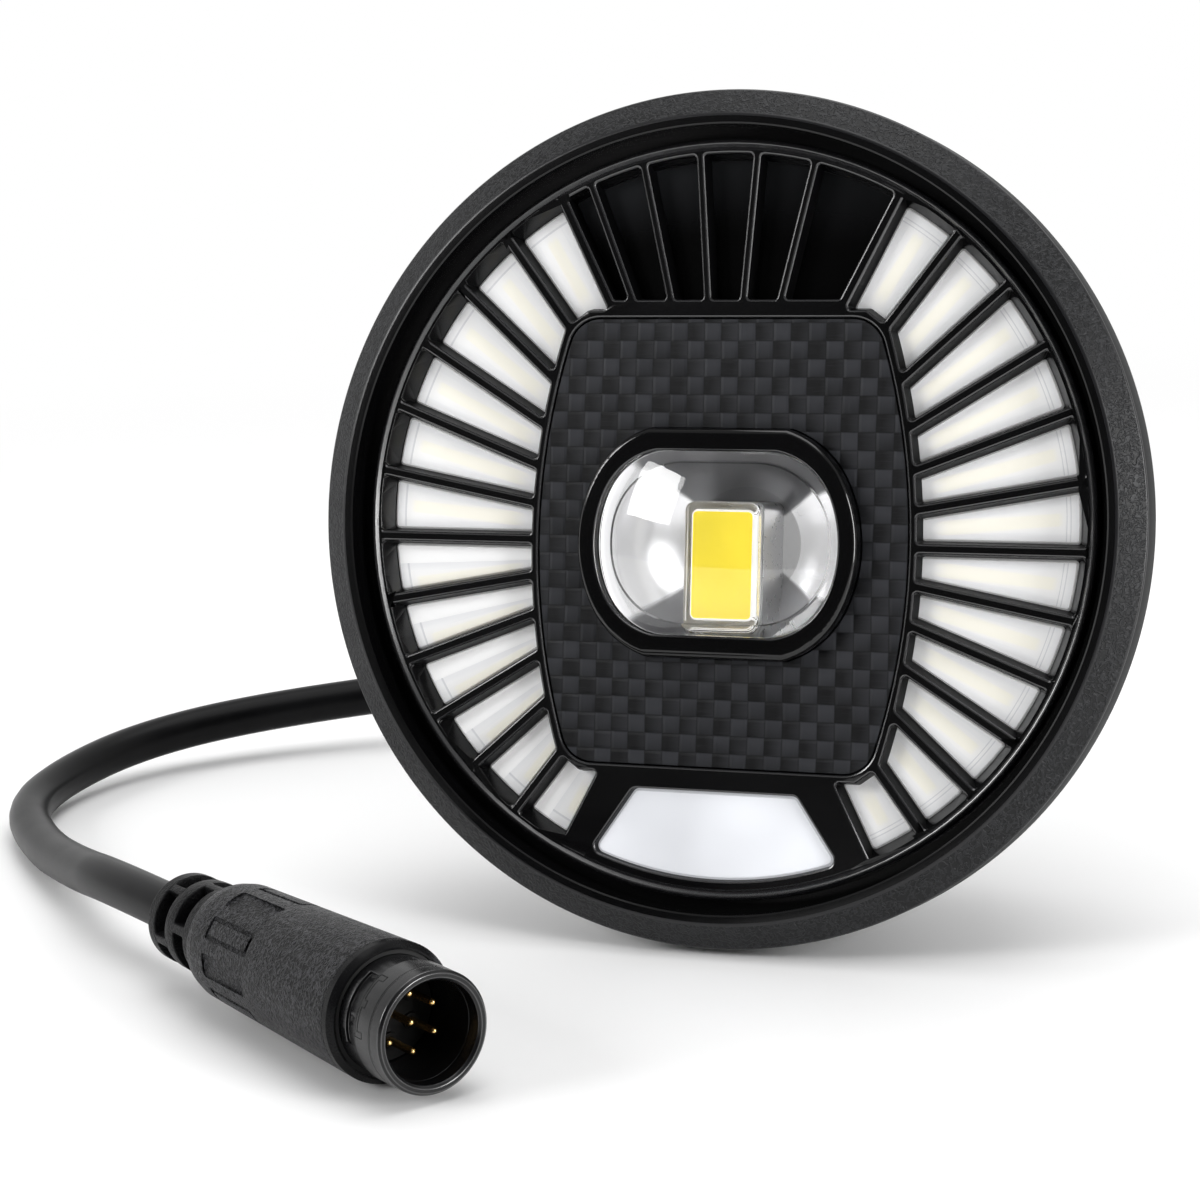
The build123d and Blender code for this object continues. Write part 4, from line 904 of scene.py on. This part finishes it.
class HEADLIGHT_OT_windows(bpy.types.Operator):
    """Make the frosted windows of both sides."""
    bl_idname = "headlight.windows"
    bl_label = "Frosted windows"

    def execute(self, context):
        for hand, lines in (("left", [(1.7, 0.22)]), ("right", [(1.5, 0.12), (2.1, 0.12)])):
            self.guide(context, "light_guide_" + hand, frosted_material("frosted_" + hand, lines))
        return {"FINISHED"}

    def guide(self, context, node, material):
        """One side's windows, each with a chamfered edge and its own place in an attribute."""
        lamp = lamp_matrix()
        edge = context.scene.headlight_sizes.window_edge / MM
        work = merged_copy(node)
        work.transform(lamp.inverted())
        work.normal_update()
        tops = [face for face in work.faces
                if face.normal.z > 0.9 and face.calc_center_median().z > -PAD_DEPTH - 0.3]
        if len(tops) < 12:
            raise RuntimeError(node + " has too few windows")
        soften_front(work, tops, [(edge, edge * 0.6)])
        layer = work.verts.layers.float_vector.new("window_place")
        for vertex in work.verts:
            vertex[layer] = (vertex.co.x, vertex.co.y, 0.0)
        for face in tops:
            middle = face.calc_center_bounds()
            turn = atan2(middle.y + LAYOUT_DROP, middle.x)
            turn = (round(turn / SPOKE_PITCH - 0.5) + 0.5) * SPOKE_PITCH
            if node.endswith("left"):
                turn = pi - (round((pi - turn) / SPOKE_PITCH - 0.5) + 0.5) * SPOKE_PITCH
            around = {vertex for corner in face.verts for edge_of in corner.link_edges
                      for vertex in edge_of.verts}
            seats = {vertex: Matrix.Rotation(-turn, 3, "Z") @ (vertex.co + Vector((0, LAYOUT_DROP, 0)))
                     for vertex in around}
            start = min(seat.x for seat in seats.values())
            for vertex, seat in seats.items():
                vertex[layer] = (seat.x, seat.y, start)
        mesh = to_mesh(work, node + "_windows", lamp)
        place_piece(mesh_object(mesh, material, 20.0), "diffuser", node)


class HEADLIGHT_OT_lens(bpy.types.Operator):
    """Make the clear lens, the mirror bowl and the light source."""
    bl_idname = "headlight.lens"
    bl_label = "Lens, mirror and light source"

    def execute(self, context):
        lamp = lamp_matrix()
        place_piece(self.lens(lamp), "lens", "main_lens")
        place_piece(self.bowl(lamp), "mirror_coat", "main_reflector")
        # The phosphor glows: painted light that keeps its yellow bright behind the lens.
        phosphor = moulded("phosphor_yellow", "phosphor", 0.45, grain=0.5, spread=0.1, depth=0.01,
                           Emission_Strength=0.8, Emission_Color="phosphor")
        rounded_copy("led_phosphor", phosphor, "phosphor", 0.15)
        white = moulded("substrate_white", (0.82, 0.82, 0.81), 0.35)
        rounded_copy("led_substrate", white, "substrate", 0.1)
        # The cover's rounded edges glow white: painted highlight lines.
        cover_edge = new_material("cover_edge", Base_Color=(0.85, 0.85, 0.86), Roughness=0.3,
                                  Emission_Strength=0.7, Emission_Color=(1.0, 1.0, 1.0))[0]
        rounded_copy("led_cover", clear_material("cover_clear"), "lens", 0.15, 3, shine=cover_edge)
        milled = metal_material("milled_aluminium", (0.75, 0.75, 0.76), 0.3)
        rounded_copy("led_pedestal", milled, "heat_sink", 0.25)
        return {"FINISHED"}

    def lens(self, lamp):
        """Clear shell under two spheres, with its flange."""
        rise, sunk, wall = 4.4, 2.4, 2.2
        radius = ((LENS_DIAMETER / 2) ** 2 + rise ** 2) / (2 * rise)
        centre = rise - sunk - radius
        outside, inside, flange = (lens_outline(more) for more in (-0.2, -2 * wall, LENS_FLANGE))

        def dome(outline, share, sphere):
            """Ring of the outline, lifted onto a sphere."""
            return [(x * share, y * share - LAYOUT_DROP,
                     centre + sqrt(sphere ** 2 - (x * x + y * y) * share ** 2)) for x, y in outline]

        shares = spread(0.0, 1.0, 26)[1:]
        rings = [[(0.0, -LAYOUT_DROP, centre + radius)]]
        rings += [dome(outside, share, radius) for share in shares[:-2] + [0.985]]
        rings += [[(x, y, z - drop) for x, y, z in dome(outside, share, radius)]
                  for share, drop in ((0.993, 0.05), (0.998, 0.16), (1.0, 0.35))]
        rings += [ring_at(outside, -3.0), ring_at(flange, -3.0), ring_at(flange, -4.6),
                  ring_at(inside, -4.6)]
        rings += [dome(inside, share, radius - wall) for share in reversed(shares)]
        rings += [[(0.0, -LAYOUT_DROP, centre + radius - wall)]]
        return lofted("main_lens_clear", rings, clear_material("lens_clear"), lamp, 22.0)

    def bowl(self, lamp):
        """Mirror bowl: a turned hollow cut by two flats, with its flange."""
        rim, floor, front, low = 18.7, 8.5, 5.4, 17.5
        bulge_out, bulge_back = 2.2, 1.6
        middle = ((rim + floor) / 2 + bulge_out, (front + low) / 2 + bulge_back)
        control = (2 * middle[0] - (rim + floor) / 2, 2 * middle[1] - (front + low) / 2)
        outline, flange, back = (lens_outline(more) for more in (-0.8, LENS_FLANGE, 1.2))
        rings = [ring_at(flange, -front), ring_at(outline, -front)]
        for part in spread(0.0, 1.0, 30):
            radius, depth = bend(rim, control[0], floor, part), bend(front, control[1], low, part)
            ring = []
            for x, y in outline:
                share = min(1.0, radius / sqrt(x * x + y * y))
                ring.append((x * share, y * share - LAYOUT_DROP, -depth))
            rings.append(ring)
        rings += [[(0.0, -LAYOUT_DROP, -low)], [(0.0, -LAYOUT_DROP, -low - 1.0)],
                  ring_at(back, -low - 1.0), ring_at(back, -front - 1.2), ring_at(flange, -front - 1.2)]
        return lofted("mirror_bowl", rings, mirror_material(), lamp, 40.0)


class HEADLIGHT_OT_housing(bpy.types.Operator):
    """Finish the rear housing, its screws, valve, gland and mounting ears."""
    bl_idname = "headlight.housing"
    bl_label = "Rear housing and fittings"

    def execute(self, context):
        coat = moulded("housing_black", (0.012, 0.012, 0.0128), 0.45, 0.35, 0.1, 0.03, gloss=0.3)
        rounded_copy("rear_housing", coat, "housing", 0.35)
        for node in ("mount_ear_left", "mount_ear_right"):
            rounded_copy(node, coat, "housing", 0.4)
        nylon = moulded("nylon_black", (0.013, 0.013, 0.014), 0.38, grain=0.5, spread=0.08, depth=0.01)
        for node in ("cable_gland", "gland_nut", "breather_valve"):
            rounded_copy(node, nylon, "gland" if node != "breather_valve" else "inner", 0.25)
        rounded_copy("gland_boot", moulded("boot_rubber", "rubber", 0.5, grain=0.3), "relief", 0.2)
        steel = metal_material("black_steel", (0.20, 0.20, 0.21), 0.35, 0.1)
        rounded_copy("housing_screws", steel, "steel", 0.15)
        rounded_copy("ear_screws", steel, "steel", 0.25)
        return {"FINISHED"}


class HEADLIGHT_OT_inner(bpy.types.Operator):
    """Give the inner pieces their finishes."""
    bl_idname = "headlight.inner"
    bl_label = "Inner pieces"

    def execute(self, context):
        circuit = moulded("circuit_white", (0.80, 0.80, 0.78), 0.4, grain=1.5, spread=0.1, depth=0.01)
        dress(circuit, "led_board_left", "led_board_right", "position_board", "driver_board")
        dress(moulded("strip_phosphor", "cream", 0.5, grain=0.6), "led_strips_left", "led_strips_right")
        dress(moulded("inner_black", (0.012, 0.012, 0.013), 0.6, grain=0.6), "carrier_plate")
        seal = moulded("seal_rubber", (0.008, 0.008, 0.008), 0.7, grain=0.3)
        dress(seal, "lens_seal", "housing_seal", "gland_seal", "connector_seal")
        dress(bpy.data.materials.get("lead_jacket", seal), "gland_lead", "plug_lead")
        return {"FINISHED"}


class HEADLIGHT_OT_plug(bpy.types.Operator):
    """Make the plug: wrinkled grip, strain relief, barrel, pin carrier and gold pins."""
    bl_idname = "headlight.plug"
    bl_label = "Plug"

    def execute(self, context):
        grip = wrinkled("grip_rubber", "rubber", 0.33, context.scene.headlight_sizes.wrinkle, 0.26,
                        body_of_grip, glint=9.0, gloss=0.12)
        rounded_copy("connector_grip", grip, "grip", 0.3, 3)
        relief = wrinkled("relief_rubber", "rubber", 0.36, 0.6 * MM, 0.05, gloss=0.10)
        rounded_copy("strain_relief", relief, "relief", 0.3, 3)
        rounded_copy("connector_barrel", barrel_material(), "barrel", 0.18, 3, shine=edge_gloss())
        carrier = moulded("carrier_black", (0.003, 0.003, 0.003), 0.5, 0.5, gloss=0.1)
        rounded_copy("pin_carrier", carrier, "inner", 0.1)
        self.pins()
        return {"FINISHED"}

    def pins(self):
        """Seven gold pins: one in the middle and the others round it."""
        gold = metal_material("pin_gold", "gold", 0.22, 0.08, 2000.0)
        tree, given, end = group_shell(
            "contact_pins",
            [("Pin Radius", "Float", 0.55), ("Circle Radius", "Float", 4.1), ("Pins Around", "Int", 6),
             ("Reach", "Float", PIN_REACH), ("Material", "Material", None)],
            [("Geometry", "Geometry")], "GeometryNodeTree")
        shaft = make(tree, "GeometryNodeMeshCylinder", {
            "Vertices": 20, "Radius": given["Pin Radius"], "Depth": given["Reach"]})
        tip = make(tree, "GeometryNodeMeshUVSphere", {
            "Segments": 20, "Rings": 10, "Radius": given["Pin Radius"]})
        lifted = make(tree, "GeometryNodeTransform", {
            "Geometry": tip["Mesh"], "Translation": join(0.0, 0.0, given["Reach"] / 2.0)})
        circle = make(tree, "GeometryNodeMeshCircle", {
            "Vertices": given["Pins Around"], "Radius": given["Circle Radius"]})
        centre = make(tree, "GeometryNodeMeshLine", {"Count": 1})
        copies = make(tree, "GeometryNodeInstanceOnPoints", {
            "Points": together(circle["Mesh"], centre["Mesh"]),
            "Instance": together(shaft["Mesh"], lifted[0])})
        real = make(tree, "GeometryNodeRealizeInstances", {"Geometry": copies[0]})
        dressed = make(tree, "GeometryNodeSetMaterial", {
            "Geometry": real[0], "Material": given["Material"]})
        feed(end, Geometry=dressed[0])
        mesh = from_nodes("pins", tree, {"Material": gold})
        mesh.transform(plug_matrix() @ Matrix.Translation((0, 0, -PIN_TIP_DEPTH - PIN_REACH / 2))
                       @ Matrix.Rotation(radians(30), 4, "Z"))
        place_piece(mesh_object(mesh, gold), "gold", "contact_pins")


def together(*parts):
    """Several geometries in one."""
    tree = tree_of(*parts)
    node = tree.nodes.new("GeometryNodeJoinGeometry")
    for part in parts:
        tree.links.new(part.socket, node.inputs[0])
    return Wire(tree, node.outputs[0])


def from_nodes(name, tree, inputs):
    """Plain mesh that a Geometry Nodes tree makes with the given inputs."""
    holder = new_object(name + "_nodes", bpy.data.meshes.new(name + "_nodes"))
    modifier = holder.modifiers.new("nodes", "NODES")
    modifier.node_group = tree
    sockets = {item.name: item.identifier for item in tree.interface.items_tree
               if item.item_type == "SOCKET" and item.in_out == "INPUT"}
    for key, value in inputs.items():
        modifier[sockets[key]] = value
    evaluated = holder.evaluated_get(bpy.context.evaluated_depsgraph_get())
    mesh = bpy.data.meshes.new_from_object(evaluated)
    mesh.name = name
    holder.modifiers.remove(modifier)
    bpy.data.objects.remove(holder)
    return mesh


STEPS = (HEADLIGHT_OT_stage, HEADLIGHT_OT_bezel, HEADLIGHT_OT_face, HEADLIGHT_OT_windows,
         HEADLIGHT_OT_lens, HEADLIGHT_OT_housing, HEADLIGHT_OT_plug, HEADLIGHT_OT_lead,
         HEADLIGHT_OT_inner)


class HEADLIGHT_PT_panel(bpy.types.Panel):
    """Lists the sizes, the colours and the steps."""
    bl_label = "Headlight"
    bl_idname = "HEADLIGHT_PT_panel"
    bl_space_type = "VIEW_3D"
    bl_region_type = "UI"
    bl_category = "Headlight"

    def draw(self, context):
        column = self.layout.column()
        for group in (context.scene.headlight_sizes, context.scene.headlight_colours):
            for key in group.__annotations__:
                column.prop(group, key)
        for step in STEPS:
            column.operator(step.bl_idname)


CLASSES = (HeadlightSizes, HeadlightColours, *STEPS, HEADLIGHT_PT_panel)


def register():
    """Register the classes and the scene's settings."""
    for item in CLASSES:
        bpy.utils.register_class(item)
    bpy.types.Scene.headlight_sizes = bpy.props.PointerProperty(type=HeadlightSizes)
    bpy.types.Scene.headlight_colours = bpy.props.PointerProperty(type=HeadlightColours)


def unregister():
    """Undo what register did."""
    del bpy.types.Scene.headlight_colours
    del bpy.types.Scene.headlight_sizes
    for item in reversed(CLASSES):
        bpy.utils.unregister_class(item)


def plain(box):
    """A box as plain lists of numbers."""
    return [[float(part) for part in corner] for corner in box]


def main():
    """Run every step in order."""
    register()
    for step in STEPS:
        group, name = step.bl_idname.split(".")
        getattr(getattr(bpy.ops, group), name)()


if __name__ == "__main__":
    main()
